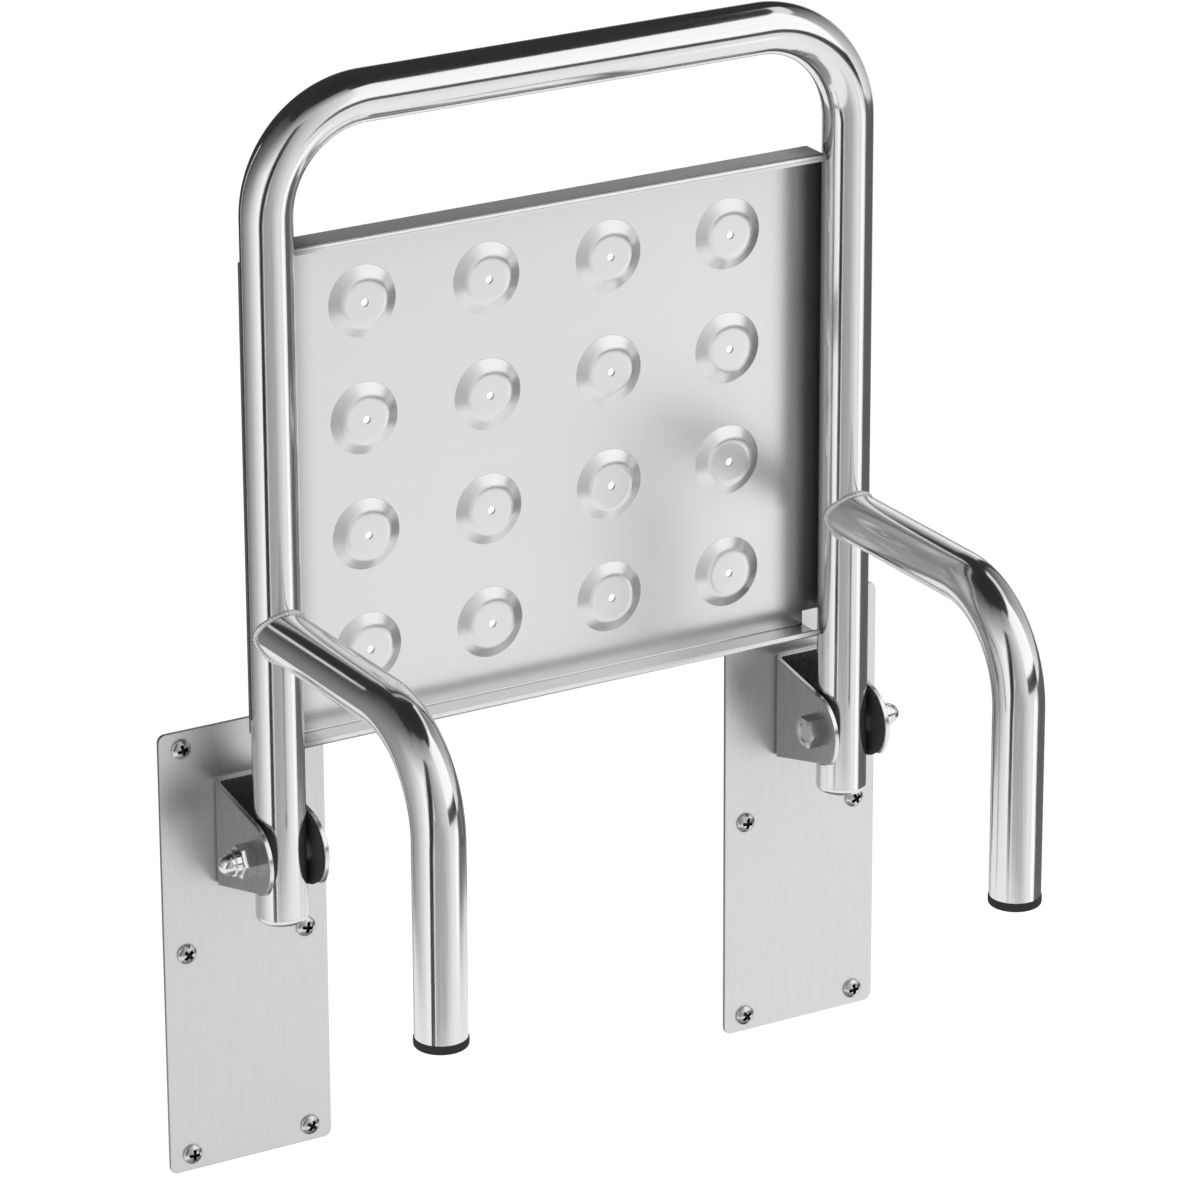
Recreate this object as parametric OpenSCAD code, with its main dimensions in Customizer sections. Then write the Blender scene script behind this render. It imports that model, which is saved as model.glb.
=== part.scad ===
// Fold down wall seat, shown folded up against the wall.
// X runs along the wall, -Y is into the room, +Z is up. The wall is the plane y = 0.
// The origin lies on the wall, halfway between the two wall plates and at their middle height.

/* [Wall plates] */
// Width of each wall plate
plate_w = 112; // [104:1:140]
// Height of each wall plate
plate_h = 292; // [280:1:340]
// Sheet thickness of each wall plate
plate_t = 2.5; // [2:0.5:4]
// Corner radius of each wall plate
plate_corner_r = 5; // [2:0.5:9]
// Distance from a plate's side edge to its screws
screw_edge_x = 15; // [12:0.5:18]
// Distance from a plate's top or bottom edge to its screws
screw_edge_z = 11; // [10:0.5:20]

/* [Plate screws] */
// Thread diameter
screw_d = 6; // [5:0.1:6.4]
// Diameter of the plain neck that passes through the plate
screw_neck_d = 5.6; // [4.8:0.1:6]
// Hole in the plate for the screw
screw_hole_d = 7; // [6.8:0.1:8]
// Length of thread behind the plate, with its point
screw_len = 20; // [15:1:60]
// Length of the point
screw_tip_l = 5; // [3:0.5:9]
// Diameter of the pan head
screw_head_d = 12.8; // [10.5:0.1:14]
// Height of the pan head
screw_head_h = 4; // [3.2:0.1:5]
// Height of the straight side of the pan head
screw_head_side_h = 1.2; // [0.6:0.1:2]
// Width across the cross recess
recess_w = 6.4; // [4:0.1:7.5]
// Width of one arm of the cross recess
recess_arm_w = 1.4; // [0.8:0.1:2]
// Depth of the cross recess
recess_depth = 2.2; // [1:0.1:2.8]

/* [Hinge brackets] */
// Sheet thickness of the brackets
bracket_t = 3; // [2:0.5:4]
// Inside radius of the bracket's bends
bracket_bend_r = 2; // [1:0.5:4]
// Distance of the pivot from the wall
pivot_out = 51; // [50:0.5:62]
// Distance from the plates' top edge down to the pivot
pivot_below_top = 70; // [56:1:86]
// Half of the bracket's height at the plate
bracket_half_h = 34.5; // [32:0.5:44]
// Radius of the ears' round nose about the pivot
ear_nose_r = 25; // [22:0.5:28]
// Rise of the ears' lower edge, in degrees
ear_foot_rise = 14.5; // [10:0.5:18]

/* [Pivot] */
// Diameter of the pivot bolt
bolt_d = 12; // [10:0.5:14]
// Width across the flats of the bolt head and the cap nut
hex_flats = 18.5; // [17:0.5:22]
// Height of the bolt head
bolt_head_h = 7.5; // [6:0.1:9]
// Depth of the round dish in the bolt head
bolt_dish_depth = 0.6; // [0.2:0.1:1]
// Width of the chamfer on the corners of bolt head and nut
hex_chamfer = 1.2; // [0.6:0.1:1.6]
// Height of the cap nut's hexagon
nut_hex_h = 9; // [7:0.5:12]
// Height of the cap nut's round collar
nut_collar_h = 4; // [3.4:0.2:6]
// Diameter of the cap nut's round collar
nut_collar_d = 16.4; // [15.6:0.2:17]
// Diameter of the cap nut's dome
nut_dome_d = 13.6; // [13:0.2:15]
// Straight height of the dome before it rounds over
nut_dome_side_h = 1.6; // [1:0.1:3]
// Radial thickness of the nylon insert in the nut
insert_wall = 1.1; // [0.6:0.1:1.4]
// Height of the nylon insert in the nut
insert_h = 2.6; // [2:0.1:3]
// Wall of the pivot bush that passes through the tube
bush_wall = 3; // [2:0.25:4]
// How far the bush stands proud of each side of the tube
bush_proud = 0.3; // [0.2:0.05:0.6]
// Thickness of the nylon washers between tube and ears
washer_t = 1; // [0.8:0.1:2]
// Margin between the washers' rim and the ears' nose
washer_margin = 2; // [1:0.5:4]

/* [Seat frame] */
// Outer diameter of the frame tube and of the support arms
tube_d = 32; // [30:0.5:34]
// Wall of the tubes
tube_wall = 1.5; // [1:0.1:2.5]
// Distance between the axes of the frame's two legs
frame_w = 400; // [370:1:460]
// Distance from the pivot to the axis of the top bar
frame_rise = 465; // [455:1:520]
// Centre line radius of the frame's two bends
frame_bend_r = 65; // [50:1:75]
// Height of the rounded cap on each lower end
end_cap_h = 5; // [4.4:0.2:8]
// Edge radius of the rounded cap
end_cap_edge_r = 3.6; // [1:0.2:4]
// Gap from the lower end to the bracket when the seat is down
end_gap = 2.25; // [1:0.25:4]

/* [Support arms] */
// Distance from the pivot up to the arms' axis
arm_rise = 144; // [130:1:160]
// Distance from the frame's axis to the foot's axis
arm_reach = 198; // [180:1:200]
// Centre line radius of the arms' bend
arm_bend_r = 65; // [50:1:80]
// Width of the weld bead round each arm
weld_w = 2.6; // [1.6:0.2:4]
// Height of the rubber foot that shows below the steel
foot_h = 6; // [5:0.5:12]
// How far the rubber foot stands proud of the tube
foot_proud = 0.5; // [0.2:0.1:1.5]
// Edge radius of the rubber foot
foot_edge_r = 1.8; // [0.8:0.2:3]
// Gap from the foot to the wall plate when the seat is down
foot_gap = 0.3; // [0.2:0.1:1]

/* [Seat tray] */
// Sheet thickness of the tray
tray_t = 1.5; // [1:0.1:2]
// Length of the tray along the frame
tray_l = 315.5; // [305:0.5:330]
// Distance from the pivot to the tray's near edge
tray_start = 63.5; // [50:0.5:66]
// Gap between the tubes and the tray's panel
tray_stand = 4.5; // [3:0.5:7]
// Depth of the tray's front and rear flanges
flange_depth = 23; // [20:0.5:26]
// Height of the return lip on each flange
flange_lip_h = 3; // [2:0.5:6]
// Outside radius of the tray's bends
tray_bend_r = 2.6; // [2.2:0.1:4]
// Gap between a flange's end and the tube
flange_gap = 1; // [0.5:0.5:4]
// How far the tray reaches past the tubes' axes
tray_over = 9.5; // [8:0.5:12]
// Length of the notch at each corner of the tray
tray_notch = 10; // [6:0.5:14]
// Dimples across the tray
dimple_cols = 4; // [3:1:4]
// Dimples along the tray
dimple_rows = 4; // [3:1:4]
// Distance between dimples across the tray
dimple_pitch_x = 84.5; // [76:0.5:90]
// Distance between dimples along the tray
dimple_pitch_z = 73.5; // [60:0.5:76]
// Outer diameter of a dimple
dimple_d = 45.5; // [36:0.5:50]
// Diameter of a dimple's flat centre
dimple_flat_d = 29; // [20:0.5:32]
// Depth of a dimple
dimple_depth = 3.5; // [2:0.25:5]
// Diameter of the drain hole in each dimple
drain_d = 5; // [3:0.5:8]
// Number of weld beads along each side of the tray
tray_weld_count = 3; // [2:1:4]
// Length of one weld bead on the tray
tray_weld_l = 24; // [12:1:32]
// Radius of one weld bead on the tray
tray_weld_r = 2.4; // [1.6:0.2:3]

/* [Fits] */
// Radial play between the pivot bolt and the bush
pivot_play = 0.05; // [0.02:0.01:0.1]
// Radial play of bolts in punched holes
punch_play = 0.25; // [0.15:0.05:0.5]
// Gap between pieces that are pressed or welded together
seat_play = 0.02; // [0.01:0.01:0.05]
// Radial play of plugs in the tubes
plug_play = 0.05; // [0.03:0.01:0.2]
// Length of the plugs inside the tubes
plug_l = 18; // [12:1:24]

/* [Hidden] */
$fn = 64;

steel = [0.74, 0.75, 0.76];
steel_bright = [0.84, 0.85, 0.86];
steel_dark = [0.58, 0.59, 0.61];
black_rubber = [0.07, 0.07, 0.07];
black_nylon = [0.1, 0.1, 0.1];

// How far a cutting tool runs past the surface that it cuts
overrun = 1;

half_w = frame_w / 2;
tube_r = tube_d / 2;
bore_r = tube_r - tube_wall;
bolt_r = bolt_d / 2;
bush_r = bolt_r + pivot_play + bush_wall;
washer_r = ear_nose_r - washer_margin;

// Height of the pivot above the middle of the plates
pivot_up = plate_h / 2 - pivot_below_top;

// Half gap between the ears, and from the tube's axis to an ear's outer face
ear_in = tube_r + bush_proud + washer_t;
ear_out = ear_in + bracket_t;
ear_reach = pivot_out + ear_nose_r;
web_front = plate_t + bracket_t;

// Lower ends of the frame and of the feet, measured down from the pivot
frame_drop = pivot_out - web_front - end_gap;
foot_drop = pivot_out - plate_t - foot_gap;
foot_r = tube_r + foot_proud;

// The tray's panel, measured from the tubes' axis toward the wall
panel_front = tube_r + tray_stand;
panel_back = panel_front + tray_t;
flange_front = panel_back - flange_depth;
flange_half = half_w - tube_r - flange_gap;
tray_half = half_w + tray_over;
lip_inner = tray_over - tray_t;
lip_edge = sqrt(tube_r * tube_r - lip_inner * lip_inner) + plug_play;

nut_len = nut_hex_h + nut_collar_h + nut_dome_side_h + nut_dome_d / 2;
nut_play = seat_play;
bolt_end = nut_hex_h + nut_collar_h;
insert_r = bolt_r + nut_play + insert_wall;

screw_x = plate_w / 2 - screw_edge_x;
screw_z = plate_h / 2 - screw_edge_z;
screw_places = [for (i = [-1, 1], j = [-1:1]) [i * screw_x, j * screw_z]];

// Places the right hand piece, or its mirror image on the left
module on_side(side) {
    if (side > 0) children();
    else mirror([1, 0, 0]) children();
}

// Local frame of the right pivot: the bolt runs along +X
module at_pivot() {
    translate([half_w, -pivot_out, pivot_up]) children();
}

// Turns a shape drawn along +Z so that it runs along +X
module along_x() {
    rotate([0, 90, 0]) children();
}

// Turns a shape drawn along +Z so that it runs into the room
module into_room() {
    rotate([90, 0, 0]) children();
}

// A rectangle about the centre with rounded corners
module rounded_rect(w, h, r) {
    union() {
        square([w - 2 * r, h], center = true);
        square([w, h - 2 * r], center = true);
        for (i = [-1, 1], j = [-1, 1])
            translate([i * (w / 2 - r), j * (h / 2 - r)]) circle(r);
    }
}

module wall_plate() {
    translate([half_w, 0, 0]) into_room() linear_extrude(plate_t)
        difference() {
            rounded_rect(plate_w, plate_h, plate_corner_r);
            for (place = screw_places) translate(place) circle(d = screw_hole_d);
        }
}

// One screw along +Z: the head's underside is at z = 0 and the point is below it
module plate_screw() {
    crown_h = screw_head_h - screw_head_side_h;
    head_r = screw_head_d / 2;
    crown_r = (head_r * head_r + crown_h * crown_h) / (2 * crown_h);
    difference() {
        intersection() {
            cylinder(r = head_r, h = screw_head_h);
            translate([0, 0, screw_head_h - crown_r]) sphere(crown_r);
        }
        for (turn = [0, 90]) rotate(turn)
            translate([-recess_w / 2, -recess_arm_w / 2, screw_head_h - recess_depth])
                cube([recess_w, recess_arm_w, recess_depth + overrun]);
    }
    translate([0, 0, -plate_t]) cylinder(d = screw_neck_d, h = plate_t);
    translate([0, 0, -plate_t - screw_len + screw_tip_l])
        cylinder(d = screw_d, h = screw_len - screw_tip_l);
    translate([0, 0, -plate_t - screw_len])
        cylinder(d1 = recess_arm_w / 2, d2 = screw_d, h = screw_tip_l);
}

module plate_screws() {
    for (place = screw_places)
        translate([half_w + place[0], -plate_t, place[1]]) into_room() plate_screw();
}

// Plan of the bracket: a channel open to the room, its bends rounded
module channel_plan(w, back, r) {
    depth = ear_reach + overrun;
    union() {
        translate([-w, -depth]) square([2 * w, depth - back - r]);
        translate([r - w, -depth]) square([2 * (w - r), depth - back]);
        for (i = [-1, 1]) translate([i * (w - r), -back - r]) circle(r);
    }
}

// Side view of an ear, in distance from the wall and height above the pivot
module ear_side() {
    run = pivot_out - plate_t;
    edge_r = ear_nose_r - seat_play;
    slope = atan2(-bracket_half_h, run) + asin(edge_r / norm([run, bracket_half_h]));
    touch = [pivot_out - edge_r * sin(slope), edge_r * cos(slope)];
    difference() {
        union() {
            translate([pivot_out, 0]) circle(ear_nose_r);
            polygon([[plate_t, -bracket_half_h], [pivot_out, overrun - ear_nose_r], [pivot_out, 0], touch,
                [plate_t, bracket_half_h]]);
        }
        translate([plate_t, -bracket_half_h]) rotate(ear_foot_rise)
            translate([-ear_reach, -ear_reach]) square([2 * ear_reach + overrun, ear_reach]);
    }
}

module hinge_bracket() {
    difference() {
        intersection() {
            translate([half_w, 0, pivot_up - bracket_half_h]) linear_extrude(2 * bracket_half_h)
                difference() {
                    channel_plan(ear_out, plate_t, bracket_bend_r + bracket_t);
                    channel_plan(ear_in, web_front, bracket_bend_r);
                }
            translate([half_w - ear_out - overrun, 0, pivot_up]) rotate([0, 0, -90]) into_room()
                mirror([0, 0, 1]) linear_extrude(2 * (ear_out + overrun)) ear_side();
        }
        at_pivot() along_x()
            cylinder(r = bolt_r + punch_play, h = 2 * (ear_out + overrun), center = true);
    }
}

// Round envelope that takes the corners off a hexagon, with its chamfer at the far end
module hex_envelope(h) {
    corner_r = hex_flats / sqrt(3);
    rotate_extrude() polygon([[0, 0], [corner_r, 0], [corner_r, h - hex_chamfer / 2],
        [corner_r - hex_chamfer, h], [0, h]]);
}

module hex_body(h) {
    intersection() {
        rotate(30) cylinder(r = hex_flats / sqrt(3), h = h, $fn = 6);
        hex_envelope(h);
    }
}

// The bolt goes in from the middle of the seat, with its nut on the outer side
module pivot_bolt() {
    at_pivot() {
        translate([-ear_out, 0, 0]) rotate([0, -90, 0])
            difference() {
                hex_body(bolt_head_h);
                translate([0, 0, bolt_head_h - bolt_dish_depth])
                    cylinder(r = bolt_r, h = bolt_dish_depth + overrun);
            }
        translate([-ear_out, 0, 0]) along_x() cylinder(r = bolt_r, h = 2 * ear_out + bolt_end);
    }
}

module dome_nut() {
    dome_r = nut_dome_d / 2;
    at_pivot() translate([ear_out, 0, 0]) along_x()
        difference() {
            union() {
                hex_body(nut_hex_h);
                cylinder(d = nut_collar_d, h = nut_hex_h + nut_collar_h);
                cylinder(r = dome_r, h = nut_len - dome_r);
                translate([0, 0, nut_len - dome_r]) sphere(dome_r);
            }
            translate([0, 0, -overrun]) cylinder(r = bolt_r + nut_play, h = bolt_end + overrun + nut_play);
            translate([0, 0, nut_hex_h]) cylinder(r = insert_r + nut_play, h = insert_h + 2 * nut_play);
        }
}

module nut_insert() {
    at_pivot() translate([ear_out + nut_hex_h + nut_play, 0, 0]) along_x()
        difference() {
            cylinder(r = insert_r, h = insert_h);
            translate([0, 0, -overrun]) cylinder(r = bolt_r + nut_play, h = insert_h + 2 * overrun);
        }
}

module nylon_washers() {
    at_pivot() for (i = [-1, 1]) translate([i * (ear_in - washer_t / 2), 0, 0]) along_x()
        difference() {
            cylinder(r = washer_r, h = washer_t, center = true);
            cylinder(r = bolt_r + punch_play, h = washer_t + 2 * overrun, center = true);
        }
}

module pivot_bush() {
    at_pivot() along_x()
        difference() {
            cylinder(r = bush_r, h = 2 * (tube_r + bush_proud), center = true);
            cylinder(r = bolt_r + pivot_play, h = 2 * (tube_r + bush_proud + overrun), center = true);
        }
}

// Quarter of a bent round bar about the origin, from +X to +Y
module bend(bend_r, r) {
    rotate_extrude(angle = 90) translate([bend_r, 0]) circle(r);
}

// Half of the frame's route as a solid of radius r, running past its lower end by extra
module half_frame(r, extra) {
    straight = frame_rise - frame_bend_r;
    low = frame_drop - end_cap_h + extra;
    translate([half_w, -pivot_out, pivot_up - low]) cylinder(r = r, h = low + straight);
    translate([half_w - frame_bend_r, -pivot_out, pivot_up + straight]) into_room() bend(frame_bend_r, r);
    translate([0, -pivot_out, pivot_up + frame_rise]) along_x() cylinder(r = r, h = half_w - frame_bend_r);
}

module seat_frame_tube() {
    difference() {
        union() for (side = [-1, 1]) on_side(side) half_frame(tube_r, 0);
        for (side = [-1, 1]) on_side(side) half_frame(bore_r, overrun);
        for (side = [-1, 1]) on_side(side) at_pivot() along_x()
            cylinder(r = bush_r + seat_play, h = tube_d + 2 * overrun, center = true);
    }
}

// A plug drawn along +Z: its cap fills 0 to h and its spigot goes up into the tube
module tube_plug(r, h, edge_r, spigot_l) {
    rotate_extrude() union() {
        square([r - edge_r, h]);
        translate([0, edge_r]) square([r, h - edge_r]);
        intersection() {
            translate([r - edge_r, edge_r]) circle(edge_r);
            square([r, h]);
        }
        translate([0, edge_r]) square([bore_r - plug_play, h - edge_r + spigot_l]);
    }
}

module frame_end_cap() {
    translate([half_w, -pivot_out, pivot_up - frame_drop])
        tube_plug(tube_r, end_cap_h, end_cap_edge_r, plug_l);
}

// Route of an arm as a solid of radius r, running past its lower end by extra
module arm_route(r, extra) {
    rise = pivot_up + arm_rise;
    foot_y = -pivot_out - arm_reach;
    low = pivot_up - foot_drop + foot_h - extra;
    translate([half_w, -pivot_out, rise]) into_room() cylinder(r = r, h = arm_reach - arm_bend_r);
    translate([half_w, foot_y + arm_bend_r, rise - arm_bend_r]) rotate([0, 0, -90]) into_room()
        bend(arm_bend_r, r);
    translate([half_w, foot_y, low]) cylinder(r = r, h = rise - arm_bend_r - low);
}

// The frame leg beside an arm, as a solid of radius r
module leg_at_arm(r) {
    translate([half_w, -pivot_out, pivot_up + arm_rise]) cylinder(r = r, h = 2 * tube_d, center = true);
}

module support_arm() {
    difference() {
        arm_route(tube_r, 0);
        arm_route(bore_r, overrun);
        leg_at_arm(tube_r + seat_play);
    }
}

// A saddle of weld metal in the corner between the arm and the leg
module arm_weld() {
    weld_r = tube_r + weld_w;
    difference() {
        intersection() {
            leg_at_arm(weld_r);
            translate([half_w, -pivot_out - weld_w, pivot_up + arm_rise]) into_room()
                cylinder(r = weld_r, h = tube_d);
        }
        leg_at_arm(tube_r + seat_play);
        translate([half_w, -pivot_out, pivot_up + arm_rise]) into_room()
            cylinder(r = tube_r + seat_play, h = 2 * tube_d);
    }
}

module foot_cap() {
    translate([half_w, -pivot_out - arm_reach, pivot_up - foot_drop])
        tube_plug(foot_r, foot_h, foot_edge_r, plug_l);
}

// Section of the tray along the frame: a shallow channel with return lips
module tray_section() {
    depth = flange_depth;
    inner_r = tray_bend_r - tray_t;
    difference() {
        translate([depth / 2, tray_l / 2]) rounded_rect(depth, tray_l, tray_bend_r);
        translate([depth / 2, tray_l / 2]) rounded_rect(depth - 2 * tray_t, tray_l - 2 * tray_t, inner_r);
        translate([depth - tray_bend_r - tray_t, tray_t + flange_lip_h])
            square([2 * tray_bend_r + tray_t, tray_l - 2 * (tray_t + flange_lip_h)]);
    }
}

// Plan of the tray across the frame: the panel and its side lips on the tubes
module tray_plan() {
    translate([-tray_half, panel_front]) square([2 * tray_half, tray_t]);
    for (side = [-1, 1]) translate([side * (tray_half - tray_t / 2) - tray_t / 2, lip_edge])
        square([tray_t, panel_back - lip_edge]);
}

dimple_places = [
    for (i = [0:dimple_cols - 1], j = [0:dimple_rows - 1])
        [(i - (dimple_cols - 1) / 2) * dimple_pitch_x, (j - (dimple_rows - 1) / 2) * dimple_pitch_z]];

// Stands the children at every dimple, on the panel's wall side, drawn along +Z into the room
module at_dimples() {
    for (place = dimple_places)
        translate([place[0], -pivot_out + panel_back, pivot_up + tray_start + tray_l / 2 + place[1]])
            into_room() children();
}

module seat_tray() {
    difference() {
        union() {
            translate([-flange_half, -pivot_out + panel_back, pivot_up + tray_start])
                rotate([0, 0, -90]) into_room() mirror([0, 0, 1])
                    linear_extrude(2 * flange_half) tray_section();
            translate([0, -pivot_out, pivot_up + tray_start + tray_notch])
                linear_extrude(tray_l - 2 * tray_notch) tray_plan();
            at_dimples() translate([0, 0, tray_t])
                cylinder(d1 = dimple_d, d2 = dimple_flat_d, h = dimple_depth);
        }
        at_dimples() {
            cylinder(d1 = dimple_d, d2 = dimple_flat_d, h = dimple_depth);
            translate([0, 0, -overrun]) cylinder(d = dimple_d, h = overrun);
            cylinder(d = drain_d, h = dimple_depth + tray_t + overrun);
        }
    }
}

// Beads in the corner between each side lip and its tube
module tray_welds() {
    pitch = (tray_l - 2 * tray_notch) / tray_weld_count;
    for (i = [0:tray_weld_count - 1])
        translate([half_w, -pivot_out, pivot_up + tray_start + tray_notch + (i + 1 / 2) * pitch])
            difference() {
                translate([lip_inner, lip_edge, 0]) cylinder(r = tray_weld_r, h = tray_weld_l, center = true);
                cylinder(r = tube_r + seat_play, h = tray_weld_l + 2 * overrun, center = true);
                translate([lip_inner - seat_play, lip_edge - seat_play, -tray_weld_l])
                    cube([tray_t + tray_weld_r, tray_weld_r + overrun, 2 * tray_weld_l]);
                translate([lip_inner - seat_play, -tube_r, -tray_weld_l])
                    cube([tray_weld_r + overrun, tube_d + tray_weld_r, 2 * tray_weld_l]);
            }
}

color(steel) on_side(-1) wall_plate();  // left_wall_plate
color(steel) on_side(1) wall_plate();  // right_wall_plate
color(steel_bright) on_side(-1) plate_screws();  // left_plate_screws
color(steel_bright) on_side(1) plate_screws();  // right_plate_screws
color(steel_dark) on_side(-1) hinge_bracket();  // left_hinge_bracket
color(steel_dark) on_side(1) hinge_bracket();  // right_hinge_bracket
color(steel_bright) on_side(-1) pivot_bolt();  // left_pivot_bolt
color(steel_bright) on_side(1) pivot_bolt();  // right_pivot_bolt
color(steel_bright) on_side(-1) dome_nut();  // left_dome_nut
color(steel_bright) on_side(1) dome_nut();  // right_dome_nut
color(black_nylon) on_side(-1) nut_insert();  // left_nut_insert
color(black_nylon) on_side(1) nut_insert();  // right_nut_insert
color(black_nylon) on_side(-1) nylon_washers();  // left_nylon_washers
color(black_nylon) on_side(1) nylon_washers();  // right_nylon_washers
color(steel) seat_frame_tube();
color(steel_dark) on_side(-1) pivot_bush();  // left_pivot_bush
color(steel_dark) on_side(1) pivot_bush();  // right_pivot_bush
color(steel) on_side(-1) frame_end_cap();  // left_frame_end_cap
color(steel) on_side(1) frame_end_cap();  // right_frame_end_cap
color(steel) on_side(-1) support_arm();  // left_support_arm
color(steel) on_side(1) support_arm();  // right_support_arm
color(steel_bright) on_side(-1) arm_weld();  // left_arm_weld
color(steel_bright) on_side(1) arm_weld();  // right_arm_weld
color(black_rubber) on_side(-1) foot_cap();  // left_foot_cap
color(black_rubber) on_side(1) foot_cap();  // right_foot_cap
color(steel_bright) seat_tray();
color(steel_dark) on_side(-1) tray_welds();  // left_tray_welds
color(steel_dark) on_side(1) tray_welds();  // right_tray_welds
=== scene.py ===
"""Looks of a stainless steel fold down wall seat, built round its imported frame. Lengths are in metres."""

import logging
import math
from collections.abc import Callable
from dataclasses import dataclass
from enum import Enum

import bmesh
import bpy
import numpy as np
from mathutils import Matrix, Vector


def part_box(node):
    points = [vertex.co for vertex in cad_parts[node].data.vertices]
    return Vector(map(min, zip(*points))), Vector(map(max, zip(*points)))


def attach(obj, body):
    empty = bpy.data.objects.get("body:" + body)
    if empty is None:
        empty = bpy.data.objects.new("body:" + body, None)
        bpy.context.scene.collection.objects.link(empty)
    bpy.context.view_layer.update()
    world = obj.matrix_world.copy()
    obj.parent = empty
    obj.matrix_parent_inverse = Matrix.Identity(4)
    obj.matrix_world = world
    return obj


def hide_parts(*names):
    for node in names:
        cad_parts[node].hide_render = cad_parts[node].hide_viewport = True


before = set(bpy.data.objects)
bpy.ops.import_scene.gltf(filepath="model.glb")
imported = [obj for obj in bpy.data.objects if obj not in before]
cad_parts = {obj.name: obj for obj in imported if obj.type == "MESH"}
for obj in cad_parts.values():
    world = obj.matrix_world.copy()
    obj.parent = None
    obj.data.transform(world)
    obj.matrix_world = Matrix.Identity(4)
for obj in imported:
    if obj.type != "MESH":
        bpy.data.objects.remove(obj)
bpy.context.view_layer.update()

MM = 0.001
WELD_DISTANCE = 2e-6
LEAST_TURN = 1e-4
TINY = 1e-9
ANGLE_DIGITS = 6
UV_NAME = "surface"
BEAD_CREASE_DEG = 70.0
SHEET_CREASE_DEG = 60.0
TO_ROOM = (0, -1, 0)
UP = (0, 0, 1)
WHITE = (1.0, 1.0, 1.0, 1.0)
log = logging.getLogger("wall_seat")


class Side(Enum):
    """The two sides of the seat, as seen from the room."""

    LEFT = -1
    RIGHT = 1

    @property
    def prefix(self) -> str:
        """Start of every node name on this side."""
        return self.name.lower() + "_"


class Body(Enum):
    """The moving bodies of the frame."""

    WALL = "wall_mount"
    SEAT = "seat"


class Coordinates(Enum):
    """What a pattern is laid out on."""

    SURFACE = "surface"
    OBJECT = "object"


def stacked(*coordinates: float | np.ndarray) -> np.ndarray:
    """Points from coordinates that broadcast to one shape, with the coordinates on a last axis."""
    return np.stack(np.broadcast_arrays(*coordinates), axis=-1)


def circle_points(angles: np.ndarray) -> np.ndarray:
    """Points of the unit circle: (cos a, sin a) for each angle a."""
    return stacked(np.cos(angles), np.sin(angles))


def full_turn(count: int) -> np.ndarray:
    """Evenly spaced angles of one turn, without its end."""
    return np.linspace(0.0, math.tau, count, endpoint=False)


def soft_profile(corners: list[tuple[float, float, float]], steps: int = 5) -> np.ndarray:
    """Rounds the corners of an open outline.

    At a corner the arc starts and ends at the distance rounding times tan(half the change of direction).
    Its points are the corner's bisector centre plus the rounding in evenly spaced directions.

    Args:
        corners: Each corner as its two coordinates and its rounding; zero keeps it sharp.
        steps: Number of steps on each arc.

    Returns:
        The outline's points, one row each.
    """
    points = [np.array([corners[0][:2]])]
    for before, corner, after in zip(corners, corners[1:], corners[2:]):
        here = np.array(corner[:2])
        come = here - np.array(before[:2])
        leave = np.array(after[:2]) - here
        come, leave = come / np.linalg.norm(come), leave / np.linalg.norm(leave)
        change = math.atan2(come[0] * leave[1] - come[1] * leave[0], come @ leave)
        rounding = corner[2]
        if rounding <= 0 or abs(change) < LEAST_TURN:
            points.append(here[None])
            continue
        start = here - come * rounding * math.tan(abs(change) / 2)
        normal = np.array([-come[1], come[0]]) * math.copysign(1.0, change)
        centre = start + normal * rounding
        angles = math.atan2(-normal[1], -normal[0]) + change * np.linspace(0, 1, steps + 1)
        points.append(centre + rounding * circle_points(angles))
    points.append(np.array([corners[-1][:2]]))
    return np.concatenate(points)


def rectangle(span_x: tuple[float, float], span_z: tuple[float, float], steps: int) -> np.ndarray:
    """Evenly divided edge of a rectangle: along its lower side, up, back along its upper side and down.

    Args:
        span_x: Its lowest and highest x.
        span_z: Its lowest and highest z.
        steps: Number of steps on each side.

    Returns:
        The edge's points, without the first again at the end.
    """
    share = np.linspace(0, 1, steps + 1)[:-1]
    (low_x, high_x), (low_z, high_z) = span_x, span_z
    along, up = share * (high_x - low_x), share * (high_z - low_z)
    return np.concatenate([stacked(low_x + along, low_z), stacked(high_x, low_z + up),
                           stacked(high_x - along, high_z), stacked(low_x, high_z - up)])


def rings_to_edge(centre: tuple[float, float], radii: np.ndarray, edge: np.ndarray,
                  shares: tuple[float, ...]) -> np.ndarray:
    """Rings from circles out to an edge, each point in the direction of its edge point.

    A circle's point is the centre plus the radius times that direction. Beyond the last circle, a ring is
    that circle times (1 - share) plus the edge times the share.

    Args:
        centre: Centre of the circles.
        radii: Radii of the circles, from the inside.
        edge: Points of the edge.
        shares: Shares of the way from the last circle to the edge.

    Returns:
        The rings, one row each.
    """
    towards = edge - np.array(centre)
    direction = towards / np.linalg.norm(towards, axis=1, keepdims=True)
    circles = np.array(centre) + radii[:, None, None] * direction
    share = np.array(shares)[:, None, None]
    return np.concatenate([circles, circles[-1] * (1 - share) + edge * share])


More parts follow.
